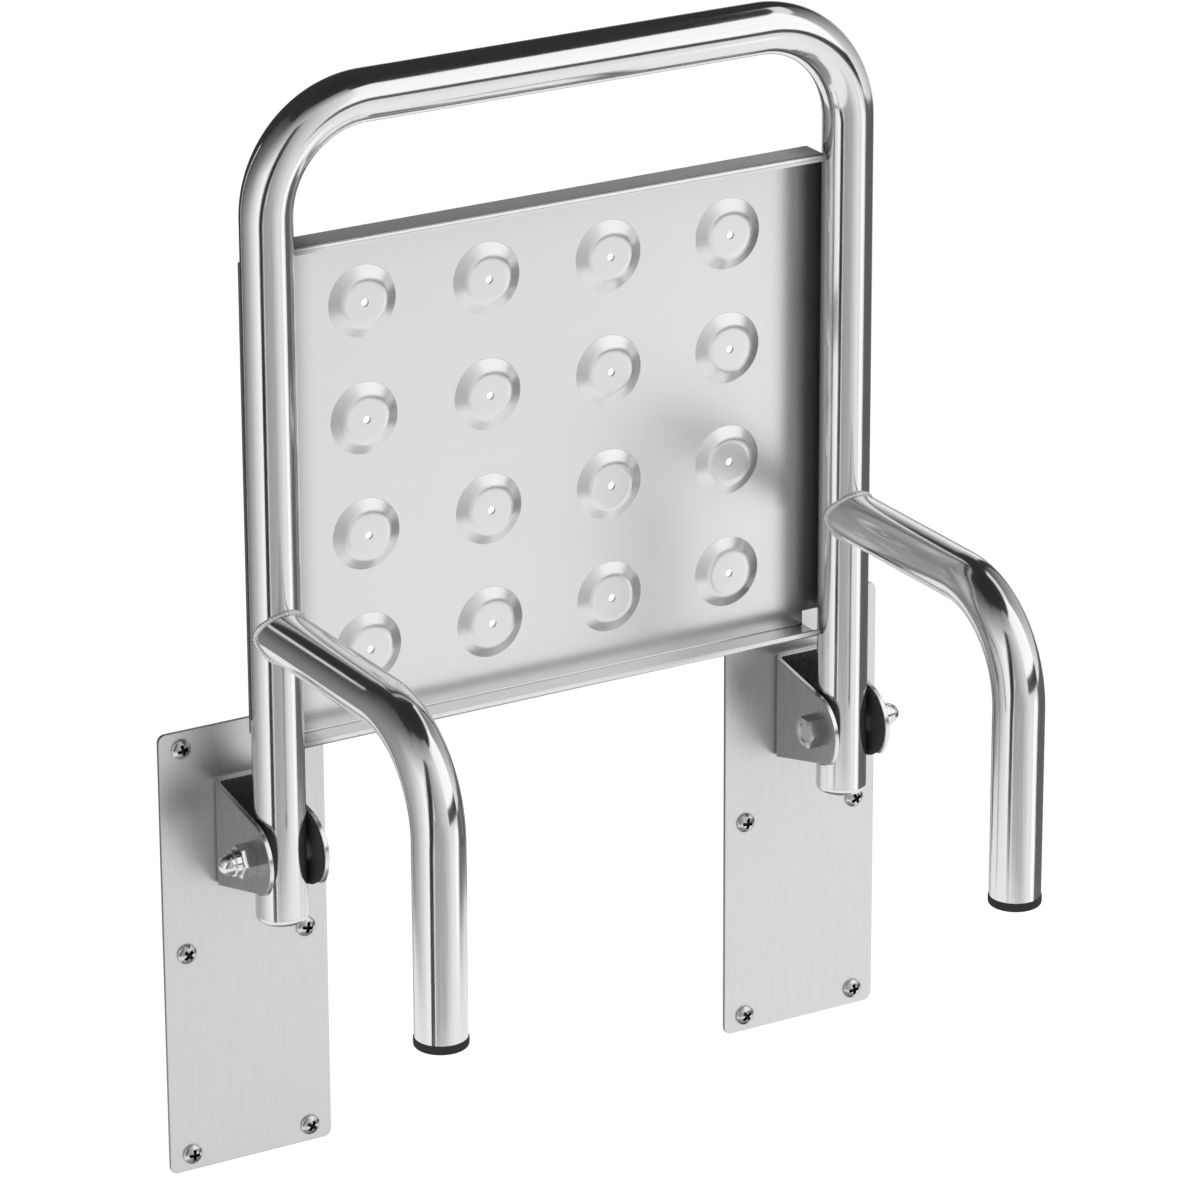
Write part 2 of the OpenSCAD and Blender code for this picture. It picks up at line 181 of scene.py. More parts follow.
@dataclass(frozen=True)
class Axes:
    """A local frame: where it stands and where its u, v and w point."""

    origin: tuple[float, float, float]
    u: tuple[float, float, float] = (1.0, 0.0, 0.0)
    v: tuple[float, float, float] = (0.0, 1.0, 0.0)
    w: tuple[float, float, float] = (0.0, 0.0, 1.0)

    def at(self, u: np.ndarray, v: np.ndarray, w: np.ndarray) -> np.ndarray:
        """Points of the shared frame: the origin plus u, v and w times their directions."""
        return stacked(u, v, w) @ np.array([self.u, self.v, self.w], float) + np.array(self.origin, float)

    def about(self, radius: np.ndarray, angles: np.ndarray, height: np.ndarray) -> np.ndarray:
        """Points about the w axis: (r cos a, r sin a, h) for each radius, angle and height."""
        return self.at(radius * np.cos(angles), radius * np.sin(angles), height)


class Route:
    """A flat route of straights and arcs, with its tangents and its length so far."""

    def __init__(self, start: tuple[float, float, float], heading: tuple[float, float, float],
                 across: tuple[float, float, float]) -> None:
        """Starts the route.

        Args:
            start: First point.
            heading: Direction at the start.
            across: Normal of the plane that the route lies in.
        """
        self.points = np.array([start], float)
        self.tangents = np.array([heading], float)
        self.across = np.array(across, float)

    def straight(self, length: float, steps: int) -> "Route":
        """Goes on along the last tangent: last point plus evenly growing lengths times the tangent.

        Args:
            length: Length of the straight.
            steps: Number of steps on it.

        Returns:
            The route itself.
        """
        shares = np.linspace(0, 1, steps + 1)[1:, None]
        heading = self.tangents[-1]
        self.points = np.concatenate([self.points, self.points[-1] + shares * length * heading])
        self.tangents = np.concatenate([self.tangents, np.repeat(heading[None], steps, axis=0)])
        return self

    def turn(self, radius: float, angle: float, steps: int) -> "Route":
        """Goes on along an arc: the centre plus the radius turned by evenly growing angles about the normal.

        Args:
            radius: Centre line radius.
            angle: Total turn in radians, positive from the heading towards across x heading.
            steps: Number of steps on the arc.

        Returns:
            The route itself.
        """
        heading = self.tangents[-1]
        inward = np.cross(self.across, heading) * math.copysign(1.0, angle)
        centre = self.points[-1] + inward * radius
        angles = abs(angle) * np.linspace(0, 1, steps + 1)[1:, None]
        arc = centre + radius * (heading * np.sin(angles) - inward * np.cos(angles))
        self.points = np.concatenate([self.points, arc])
        self.tangents = np.concatenate([self.tangents, heading * np.cos(angles) + inward * np.sin(angles)])
        return self

    def lengths(self) -> np.ndarray:
        """Length of the route up to each of its points."""
        steps = np.linalg.norm(np.diff(self.points, axis=0), axis=1)
        return np.concatenate([[0.0], np.cumsum(steps)])

    def rings(self, radius: float, angles: np.ndarray) -> np.ndarray:
        """Circles square to the route: point plus radius times (cos a * side + sin a * across).

        Args:
            radius: Radius of the circles.
            angles: Angles round the route.

        Returns:
            A grid of points, one row for each point of the route.
        """
        side = np.cross(self.across, self.tangents)
        around = (np.cos(angles)[None, :, None] * side[:, None, :]
                  + np.sin(angles)[None, :, None] * self.across)
        return self.points[:, None, :] + radius * around


class Skin:
    """Collects grids of points into one mesh object."""

    def __init__(self, name: str) -> None:
        """Starts an empty skin.

        Args:
            name: Name of the object.
        """
        self.name = name
        self.points: list[np.ndarray] = []
        self.quads: list[np.ndarray] = []
        self.uvs: list[np.ndarray] = []
        self.count = 0

    def grid(self, points: np.ndarray, wrap: bool = False, uv: np.ndarray | None = None) -> None:
        """Adds the quads between neighbouring points of a grid.

        Args:
            points: Rows by columns by 3.
            wrap: Whether the last column joins the first.
            uv: Surface coordinates, rows by columns (one more with wrap) by 2. Lengths along both directions
                of the grid take their place when left out.
        """
        rows, columns = points.shape[:2]
        index = np.arange(rows * columns).reshape(rows, columns) + self.count
        looped = points
        if wrap:
            index = np.concatenate([index, index[:, :1]], axis=1)
            looped = np.concatenate([points, points[:, :1]], axis=1)
        if uv is None:
            across = np.cumsum(np.linalg.norm(np.diff(looped, axis=1), axis=2), axis=1)
            along = np.cumsum(np.linalg.norm(np.diff(looped, axis=0), axis=2), axis=0)
            uv = stacked(np.pad(across, ((0, 0), (1, 0))).mean(axis=0)[None, :],
                         np.pad(along, ((1, 0), (0, 0))).mean(axis=1)[:, None])
        first, second = slice(None, -1), slice(1, None)
        picks = ((first, first), (first, second), (second, second), (second, first))
        self.quads.append(np.stack([index[pick] for pick in picks], axis=-1).reshape(-1, 4))
        self.uvs.append(np.stack([uv[pick] for pick in picks], axis=-2).reshape(-1, 2))
        self.points.append(points.reshape(-1, 3))
        self.count += rows * columns

    def rings(self, axes: Axes, rows: list[tuple], angles: np.ndarray, uv: np.ndarray | None = None) -> None:
        """Adds a surface ring by ring: (r cos a, r sin a, h) for each ring's r and h and each angle a.

        Args:
            axes: Where the surface stands, with w as its axis.
            rows: Radius and height of each ring, each one number or one for each angle.
            angles: Angles of the points.
            uv: Surface coordinates, as grid takes them.
        """
        radius, height = (np.stack([np.broadcast_to(row[part], angles.shape) for row in rows])
                          for part in (0, 1))
        self.grid(axes.about(radius, angles, height), wrap=True, uv=uv)

    def build(self, facing: tuple[float, float, float] | None = None, crease_deg: float = 38.0,
              weighted: bool = True) -> bpy.types.Object:
        """Makes the object: doubles merged, faces outwards, smooth between its creases.

        Args:
            facing: For an open sheet, the direction that most of its faces look in.
            crease_deg: Edges sharper than this stay sharp.
            weighted: Whether large flat faces set the normals of their corners.

        Returns:
            The new object, linked to the scene.
        """
        quads = np.concatenate(self.quads)
        mesh = bpy.data.meshes.new(self.name)
        mesh.vertices.add(self.count)
        mesh.vertices.foreach_set("co", np.concatenate(self.points).astype(np.float32).ravel())
        mesh.loops.add(quads.size)
        mesh.loops.foreach_set("vertex_index", quads.astype(np.int32).ravel())
        mesh.polygons.add(len(quads))
        mesh.polygons.foreach_set("loop_start", np.arange(0, quads.size, 4, dtype=np.int32))
        mesh.uv_layers.new(name=UV_NAME).uv.foreach_set(
            "vector", np.concatenate(self.uvs).astype(np.float32).ravel())
        mesh.update(calc_edges=True)
        work = bmesh.new()
        work.from_mesh(mesh)
        bmesh.ops.remove_doubles(work, verts=work.verts, dist=WELD_DISTANCE)
        bmesh.ops.dissolve_degenerate(work, edges=work.edges, dist=WELD_DISTANCE / 2)
        bmesh.ops.recalc_face_normals(work, faces=work.faces)
        if facing is not None:
            total = sum((face.normal * face.calc_area() for face in work.faces), Vector())
            if total.dot(Vector(facing)) < 0:
                bmesh.ops.reverse_faces(work, faces=work.faces)
        work.to_mesh(mesh)
        work.free()
        mesh.polygons.foreach_set("use_smooth", np.ones(len(mesh.polygons), bool))
        mesh.set_sharp_from_angle(angle=math.radians(crease_deg))
        piece = bpy.data.objects.new(self.name, mesh)
        bpy.context.scene.collection.objects.link(piece)
        if weighted:
            weigh_normals(piece)
        return piece


def weigh_normals(piece: bpy.types.Object, weight: int = 80) -> None:
    """Lets large flat faces keep their own normal beside small rounded ones.

    Args:
        piece: The piece that gets the modifier.
        weight: How much the larger faces count, up to 100.
    """
    modifier = piece.modifiers.new("even_flats", "WEIGHTED_NORMAL")
    modifier.keep_sharp = True
    modifier.weight = weight


def thicken(piece: bpy.types.Object, thickness: float, offset: float, edge: float, edge_deg: float = 50.0,
            edge_steps: int = 2) -> None:
    """Gives a sheet its thickness and softens its cut edges.

    Args:
        piece: An open sheet.
        thickness: Thickness of the sheet.
        offset: -1 adds it behind the faces, 0 on both sides and 1 in front.
        edge: Width of the rounding on the cut edges.
        edge_deg: Edges sharper than this are rounded.
        edge_steps: Number of faces across the rounding.
    """
    piece.modifiers.remove(piece.modifiers["even_flats"])
    solid = piece.modifiers.new("sheet", "SOLIDIFY")
    solid.thickness = thickness
    solid.offset = offset
    solid.use_even_offset = True
    solid.use_quality_normals = True
    bevel = piece.modifiers.new("cut_edges", "BEVEL")
    bevel.width = edge
    bevel.segments = edge_steps
    bevel.limit_method = "ANGLE"
    bevel.angle_limit = math.radians(edge_deg)
    bevel.harden_normals = False
    weigh_normals(piece)


def new_group(name: str, inputs: dict[str, float | tuple],
              outputs: dict[str, str]) -> bpy.types.ShaderNodeTree:
    """Makes an empty shader node group with its sockets.

    Args:
        name: Name of the group.
        inputs: Each input's name and default; a tuple of 3 is a vector and of 4 a colour.
        outputs: Each output's name and socket type.

    Returns:
        The group, with nodes named In and Out.
    """
    group = bpy.data.node_groups.new(name, "ShaderNodeTree")
    kinds = {3: "NodeSocketVector", 4: "NodeSocketColor"}
    for label, value in inputs.items():
        kind = kinds[len(value)] if isinstance(value, tuple) else "NodeSocketFloat"
        socket = group.interface.new_socket(label, in_out="INPUT", socket_type=kind)
        socket.default_value = value
    for label, kind in outputs.items():
        group.interface.new_socket(label, in_out="OUTPUT", socket_type=kind)
    group.nodes.new("NodeGroupInput").name = "In"
    group.nodes.new("NodeGroupOutput").name = "Out"
    return group


@dataclass(frozen=True)
class Wiring:
    """Short ways to add nodes to one tree and to link them."""

    tree: bpy.types.NodeTree

    def add(self, kind: str, settings: dict | None = None, **sockets: object) -> bpy.types.Node:
        """Adds a node and sets its inputs, each either to a value or to a link from another socket.

        Args:
            kind: The node's type, without its ShaderNode start.
            settings: Properties of the node.
            sockets: Inputs by name, with _ for a blank, or by index as i0, i1 and so on.

        Returns:
            The node.
        """
        node = self.tree.nodes.new("ShaderNode" + kind)
        for label, value in (settings or {}).items():
            setattr(node, label, value)
        for label, value in sockets.items():
            is_index = label[0] == "i" and label[1:].isdigit()
            socket = node.inputs[int(label[1:])] if is_index else node.inputs[label.replace("_", " ")]
            if isinstance(value, bpy.types.NodeSocket):
                self.tree.links.new(value, socket)
            else:
                socket.default_value = value
        return node

    def math(self, operation: str, first: object, second: object = 0.0) -> bpy.types.NodeSocket:
        """Adds a Math node and returns its result."""
        return self.add("Math", {"operation": operation}, i0=first, i1=second).outputs[0]

    def scale(self, vector: object, share: object) -> bpy.types.NodeSocket:
        """Adds a node that scales a vector or a colour and returns its result."""
        return self.add("VectorMath", {"operation": "SCALE"}, i0=vector, Scale=share).outputs[0]

    def between(self, value: object, low: object, high: object) -> bpy.types.NodeSocket:
        """Adds a node that turns 0 to 1 into low to high and returns its result."""
        return self.add("MapRange", Value=value, To_Min=low, To_Max=high).outputs[0]

    def split(self, vector: object) -> bpy.types.Node:
        """Adds a node that splits a vector and returns it, with the outputs X, Y and Z."""
        return self.add("SeparateXYZ", Vector=vector)

    def on_surface(self) -> bpy.types.NodeSocket:
        """Adds the surface's own coordinates and returns them."""
        return self.add("UVMap", {"uv_map": UV_NAME}).outputs["UV"]

    def on_object(self) -> bpy.types.NodeSocket:
        """Adds the object's coordinates and returns them."""
        return self.add("TexCoord").outputs["Object"]

    def noise(self, place: object, scale: float, detail: float,
              breakup: float = 0.5) -> bpy.types.NodeSocket:
        """Adds a noise and returns its value.

        Args:
            place: Where it is read.
            scale: Its scale.
            detail: Number of finer layers.
            breakup: Strength of each finer layer beside the one before.

        Returns:
            The noise, 0 to 1.
        """
        return self.add("TexNoise", Vector=place, Scale=scale, Detail=detail, Roughness=breakup).outputs[0]


@dataclass(frozen=True)
class BrushGrain:
    """The brush lines that all steel finishes share, as one shader node group.

    They are noise stretched along one direction, at two widths, with slow cloudy patches over them. A layer
    is its share of the line width, its share of the line length, its seed and its weight.
    """

    name: str = "brush_grain"
    layers: tuple[tuple[float, float, float, float], ...] = ((1.0, 1.0, 0.0, 0.55), (3.3, 2.2, 7.3, 0.45))
    line_detail: float = 2.0
    line_breakup: float = 0.6
    patch_detail: float = 3.0
    patch_breakup: float = 0.55
    mean: float = 0.5
    line_gain: float = 4.0
    patch_gain: float = 2.0
    least_roughness: float = 0.03

    def group(self) -> bpy.types.ShaderNodeTree:
        """The group, made once.

        The colour is the given one times 1 + centred lines times their spread. The roughness is the given one
        plus the centred lines and the centred patches, each times its own spread.

        Returns:
            The group. Colour and Roughness are ready for the shader, and Height, 0 to 1, is for a bump.
        """
        if self.name in bpy.data.node_groups:
            return bpy.data.node_groups[self.name]
        group = new_group(self.name, {
            "Vector": (0.0, 0.0, 0.0), "Line Width": 0.0003, "Line Length": 0.03,
            "Colour": (0.7, 0.7, 0.7, 1.0), "Colour Spread": 0.05, "Roughness": 0.2,
            "Roughness Spread": 0.05, "Patch Size": 0.06, "Patch Amount": 0.04},
            {"Colour": "NodeSocketColor", "Roughness": "NodeSocketFloat", "Height": "NodeSocketFloat"})
        wire = Wiring(group)
        given = group.nodes["In"].outputs
        lines = self.lines(wire, given)
        centred = wire.math("SUBTRACT", lines, self.mean)
        place = wire.scale(given["Vector"], wire.math("DIVIDE", 1.0, given["Patch Size"]))
        patches = wire.math("SUBTRACT", wire.noise(place, 1.0, self.patch_detail, self.patch_breakup),
                            self.mean)

        def spread(pattern: bpy.types.NodeSocket, amount: str, gain: float) -> bpy.types.NodeSocket:
            """The pattern times a given amount and its gain."""
            return wire.math("MULTIPLY", pattern, wire.math("MULTIPLY", given[amount], gain))

        bright = wire.math("ADD", spread(centred, "Colour Spread", self.line_gain), 1.0)
        rough = wire.math("ADD", given["Roughness"], wire.math(
            "ADD", spread(centred, "Roughness Spread", self.line_gain),
            spread(patches, "Patch Amount", self.patch_gain)))
        out = group.nodes["Out"].inputs
        group.links.new(wire.scale(given["Colour"], bright), out["Colour"])
        group.links.new(wire.math("MAXIMUM", rough, self.least_roughness), out["Roughness"])
        group.links.new(lines, out["Height"])
        return group

    def lines(self, wire: Wiring, given: bpy.types.bpy_prop_collection) -> bpy.types.NodeSocket:
        """Adds the lines: the sum of each layer's noise times its weight.

        A layer reads its noise at x and z over the line width and y over the line length.

        Args:
            wire: The wiring of the group.
            given: The group's inputs.

        Returns:
            The lines, 0 to 1.
        """
        split = wire.split(given["Vector"]).outputs
        layers = []
        for width_share, length_share, seed, weight in self.layers:
            width = wire.math("MULTIPLY", given["Line Width"], width_share)
            length = wire.math("MULTIPLY", given["Line Length"], length_share)
            place = wire.add("CombineXYZ", X=wire.math("DIVIDE", split["X"], width),
                             Y=wire.math("DIVIDE", split["Y"], length),
                             Z=wire.math("ADD", wire.math("DIVIDE", split["Z"], width), seed))
            noise = wire.noise(place.outputs[0], 1.0, self.line_detail, self.line_breakup)
            layers.append(wire.math("MULTIPLY", noise, weight))
        return wire.math("ADD", *layers)


@dataclass(frozen=True)
class Finish:
    """What every finish has: its name, its colour and its roughness."""

    name: str
    colour: tuple[float, float, float]
    roughness: float

    def material(self) -> bpy.types.Material:
        """The finish as a material, made once.

        Returns:
            The material.
        """
        if self.name in bpy.data.materials:
            return bpy.data.materials[self.name]
        material = bpy.data.materials.new(self.name)
        material.use_nodes = True
        self.connect(Wiring(material.node_tree), material.node_tree.nodes["Principled BSDF"].inputs)
        return material

    def connect(self, wire: Wiring, shader: bpy.types.bpy_prop_collection) -> None:
        """Wires the finish to the shader, each kind in its own way.

        Args:
            wire: The wiring of the material.
            shader: Inputs of its shader.
        """
        raise NotImplementedError


@dataclass(frozen=True)
class SteelFinish(Finish):
    """A stainless steel finish: how bright, how smooth and how it is brushed."""

    line_width: float
    line_length: float
    bump: float
    colour_spread: float = 0.04
    roughness_spread: float = 0.04
    patch_size: float = 0.05
    patch_amount: float = 0.03
    coordinates: Coordinates = Coordinates.SURFACE
    turn_deg: tuple[float, float, float] = (0.0, 0.0, 0.0)
    metallic: float = 1.0
    # Painted shade: the share that the colour drops to inside a screw's recess.
    painted_recess_shade: float | None = None
    # Painted shade: the colour darkens from the first distance off the middle to the second, down to the
    # share.
    painted_side_shade: tuple[float, float, float] | None = None

    def connect(self, wire: Wiring, shader: bpy.types.bpy_prop_collection) -> None:
        """Lays brush lines along the surface's second coordinate, or along the turned object's.

        The colour is scaled by the hollow share where the surface's first coordinate is 1, painted shade in a
        recess. With the painted side shade it is also scaled by 1 up to the first distance off the middle,
        falling to the last share at the second: painted shade along the sides.

        Args:
            wire: The wiring of the material.
            shader: Inputs of its shader.
        """
        if self.coordinates is Coordinates.SURFACE:
            place = wire.on_surface()
        else:
            turn = tuple(math.radians(angle) for angle in self.turn_deg)
            place = wire.add("Mapping", Vector=wire.on_object(), Rotation=turn).outputs[0]
        grain = wire.add("Group", {"node_tree": BrushGrain().group()}, Vector=place,
                         Line_Width=self.line_width, Line_Length=self.line_length,
                         Colour=(*self.colour, 1.0), Colour_Spread=self.colour_spread,
                         Roughness=self.roughness, Roughness_Spread=self.roughness_spread,
                         Patch_Size=self.patch_size, Patch_Amount=self.patch_amount).outputs
        colour = grain["Colour"]
        # Painted shade in the recess: where the surface's first coordinate is 1 the colour drops to the
        # share.
        if self.painted_recess_shade is not None:
            hollow = wire.split(wire.on_surface()).outputs["X"]
            colour = wire.scale(colour, wire.between(hollow, 1.0, self.painted_recess_shade))
        # Painted shade: darker towards the sides, where the tubes stand beside the panel.
        if self.painted_side_shade is not None:
            start, end, least = self.painted_side_shade
            off_middle = wire.math("ABSOLUTE", wire.split(wire.on_object()).outputs["X"])
            share = wire.add("MapRange", {"interpolation_type": "SMOOTHSTEP"}, Value=off_middle,
                             From_Min=start, From_Max=end, To_Min=1.0, To_Max=least)
            colour = wire.scale(colour, share.outputs[0])
        bump = wire.add("Bump", Height=grain["Height"], Strength=1.0, Distance=self.bump)
        wire.tree.links.new(colour, shader["Base Color"])
        wire.tree.links.new(grain["Roughness"], shader["Roughness"])
        wire.tree.links.new(bump.outputs[0], shader["Normal"])
        shader["Metallic"].default_value = self.metallic


@dataclass(frozen=True)
class PolymerFinish(Finish):
    """A dull black polymer: moulded rubber or nylon."""

    pit_size: float
    bump: float
    pit_detail: float = 3.0
    pit_breakup: float = 0.6
    cloud_scale: float = 90.0
    cloud_detail: float = 2.0
    tone_spread: float = 0.25
    roughness_spread: float = 0.08

    def connect(self, wire: Wiring, shader: bpy.types.bpy_prop_collection) -> None:
        """Gives the polymer fine pits and slow patches, both from noise.

        Args:
            wire: The wiring of the material.
            shader: Inputs of its shader.
        """
        place = wire.on_object()
        pits = wire.noise(place, 1.0 / self.pit_size, self.pit_detail, self.pit_breakup)
        cloud = wire.noise(place, self.cloud_scale, self.cloud_detail)
        tone = wire.add("MixRGB", {"blend_type": "MULTIPLY"}, Fac=1.0, Color1=(*self.colour, 1.0),
                        Color2=wire.between(cloud, 1.0 - self.tone_spread, 1.0 + self.tone_spread))
        rough = wire.between(pits, self.roughness - self.roughness_spread,
                             self.roughness + self.roughness_spread)
        bump = wire.add("Bump", Height=pits, Strength=1.0, Distance=self.bump)
        wire.tree.links.new(tone.outputs[0], shader["Base Color"])
        wire.tree.links.new(rough, shader["Roughness"])
        wire.tree.links.new(bump.outputs[0], shader["Normal"])


TUBE_STEEL = SteelFinish("satin_tube_steel", (0.70, 0.70, 0.70), 0.12, 0.30 * MM, 40 * MM, 0.004 * MM,
                         colour_spread=0.06, roughness_spread=0.05)
# The tray's colour darkens towards its sides beside the tubes: painted shade.
TRAY_STEEL = SteelFinish("bright_tray_steel", (0.73, 0.73, 0.725), 0.25, 0.5 * MM, 4 * MM, 0.0008 * MM,
                         colour_spread=0.01, roughness_spread=0.02, metallic=0.80,
                         painted_side_shade=(158 * MM, 186 * MM, 0.30))
PLATE_STEEL = SteelFinish("brushed_plate_steel", (0.66, 0.66, 0.655), 0.34, 0.25 * MM, 14 * MM, 0.012 * MM,
                          colour_spread=0.10, roughness_spread=0.06, coordinates=Coordinates.OBJECT,
                          turn_deg=(-90.0, 0.0, 0.0), metallic=0.85)
# The bracket's faces are coloured darker than the steel as painted shade, and its cut edges lighter as a
# painted highlight.
BRACKET_STEEL = SteelFinish("brushed_bracket_steel", (0.36, 0.36, 0.36), 0.27, 0.25 * MM, 8 * MM, 0.008 * MM,
                            coordinates=Coordinates.OBJECT, turn_deg=(-90.0, 0.0, 0.0), metallic=0.90)
HIGHLIT_BRACKET_EDGE_STEEL = SteelFinish("bracket_edge_painted_highlight_steel", (0.70, 0.70, 0.70), 0.22, 0.25 * MM, 1 * MM,
                                 0.006 * MM, coordinates=Coordinates.OBJECT)
# The plate's cut edges are coloured far darker than its face: painted shade.
SHADED_PLATE_EDGE_STEEL = SteelFinish("plate_edge_painted_shade_steel", (0.22, 0.22, 0.22), 0.36, 0.25 * MM, 0.25 * MM, 0.004 * MM,
                             coordinates=Coordinates.OBJECT, metallic=0.90)
# The screws' recesses are coloured near black: painted shade.
SCREW_STEEL = SteelFinish("polished_screw_steel", (0.60, 0.60, 0.60), 0.20, 0.3 * MM, 1 * MM, 0.001 * MM,
                          coordinates=Coordinates.OBJECT, painted_recess_shade=0.04)
BOLT_STEEL = SteelFinish("forged_bolt_steel", (0.55, 0.55, 0.55), 0.28, 0.5 * MM, 0.7 * MM, 0.02 * MM,
                         coordinates=Coordinates.OBJECT)
NUT_STEEL = SteelFinish("polished_nut_steel", (0.68, 0.68, 0.68), 0.12, 0.4 * MM, 1 * MM, 0.001 * MM,
                        coordinates=Coordinates.OBJECT)
BUSH_STEEL = SteelFinish("turned_bush_steel", (0.60, 0.60, 0.60), 0.25, 0.15 * MM, 3 * MM, 0.004 * MM,
                         coordinates=Coordinates.OBJECT)
WELD_STEEL = SteelFinish("weld_steel", (0.68, 0.67, 0.66), 0.15, 0.4 * MM, 0.6 * MM, 0.02 * MM,
                         coordinates=Coordinates.OBJECT)
FOOT_RUBBER = PolymerFinish("foot_rubber", (0.018, 0.018, 0.018), 0.42, 0.4 * MM, 0.01 * MM)
BLACK_NYLON = PolymerFinish("black_nylon", (0.032, 0.032, 0.032), 0.62, 0.5 * MM, 0.010 * MM)


def settle(piece: bpy.types.Object, finish: Finish, body: Body, slot: str, *nodes: str,
           rim: Finish | None = None) -> None:
    """Dresses a finished piece, gives it its body and hides the nodes that it stands for.

    Args:
        piece: The finished piece.
        finish: Its finish.
        body: The body that it rides on.
        slot: Not used.
        nodes: The nodes that it stands for.
        rim: Finish of a sheet's cut edges, where it is another.
    """
    piece.data.materials.clear()
    piece.data.materials.append(finish.material())
    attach(piece, body.value)
    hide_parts(*nodes)
    if rim is not None:
        piece.modifiers["sheet"].material_offset_rim = 1
        piece.data.materials.append(rim.material())
    log.info("%s: %d faces, on %s", piece.name, len(piece.data.polygons), body.value)


def pipe(name: str, route: Route, radius: float, wall: float, sides: int,
         trim: Callable[[np.ndarray], np.ndarray] | None = None) -> bpy.types.Object:
    """A tube with its bore, as one closed surface.

    The rows are the outer circles along the route, then the inner ones back, and the first again.

    Args:
        name: Name of the piece.
        route: Route of the centre line.
        radius: Outer radius.
        wall: Wall of the tube.
        sides: Number of faces round it.
        trim: Moves the points of the first outer and inner circle, where given.

    Returns:
        The piece.
    """
    angles = full_turn(sides)
    outer, inner = route.rings(radius, angles), route.rings(radius - wall, angles)
    if trim is not None:
        outer[0], inner[0] = trim(outer[0]), trim(inner[0])
    lengths = route.lengths()
    around = np.linspace(0, math.tau * radius, sides + 1)
    along = np.concatenate([lengths, lengths[::-1], lengths[:1]])
    skin = Skin(name)
    skin.grid(np.concatenate([outer, inner[::-1], outer[:1]]), wrap=True,
              uv=stacked(around[None, :], along[:, None]))
    return skin.build(weighted=False)


def turned(name: str, outline: np.ndarray, axes: Axes, sides: int) -> bpy.types.Object:
    """A turned piece: an outline of radius and height, turned about the w axis.

    Args:
        name: Name of the piece.
        outline: Rows of radius and height, from axis to axis.
        axes: Where the piece stands.
        sides: Number of faces round it.

    Returns:
        The piece.
    """
    skin = Skin(name)
    skin.rings(axes, outline, full_turn(sides))
    return skin.build()


@dataclass
class SeatFrame:
    """The bent tube with its rounded ends."""

    bend_r: float = 65 * MM
    wall: float = 1.5 * MM
    cap_edge_r: float = 3.6 * MM
    seam_depth: float = 0.12 * MM
    sides: int = 72
    leg_steps: int = 12
    bar_steps: int = 8
    bend_steps: int = 48
    cap_edge_steps: int = 10

    def __post_init__(self) -> None:
        """Takes the tube's size and place from the frame."""
        low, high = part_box("seat_frame_tube")
        self.tube_r = (high.y - low.y) / 2
        self.axis_y = (high.y + low.y) / 2
        self.axis_x = high.x - self.tube_r
        self.bar_z = high.z - self.tube_r
        self.start_z = low.z

    def build_tube(self) -> None:
        """The tube: a circle carried up one leg, over the bar and down the other, with its bore."""
        rise = self.bar_z - self.bend_r - self.start_z
        route = Route((-self.axis_x, self.axis_y, self.start_z), (0, 0, 1), (0, 1, 0))
        route.straight(rise, self.leg_steps).turn(self.bend_r, math.pi / 2, self.bend_steps)
        route.straight(2 * (self.axis_x - self.bend_r), self.bar_steps)
        route.turn(self.bend_r, math.pi / 2, self.bend_steps).straight(rise, self.leg_steps)
        piece = pipe("seat_frame_tube_skin", route, self.tube_r, self.wall, self.sides)
        settle(piece, TUBE_STEEL, Body.SEAT, "tube_steel", "seat_frame_tube")

    def build_end_cap(self, side: Side) -> None:
        """The closure on a leg: an outline with a rounded edge, turned about the leg's axis.

        Args:
            side: Side of the leg.
        """
        node = side.prefix + "frame_end_cap"
        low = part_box(node)[0]
        height = self.start_z - low.z
        seam = self.seam_depth
        outline = soft_profile([
            (0, 0, 0), (self.tube_r, 0, self.cap_edge_r), (self.tube_r, height - seam, 0),
            (self.tube_r - seam, height, 0), (0, height, 0)], steps=self.cap_edge_steps)
        axes = Axes((side.value * self.axis_x, self.axis_y, low.z))
        settle(turned(node + "_skin", outline, axes, self.sides), TUBE_STEEL, Body.SEAT, "tube_steel", node)


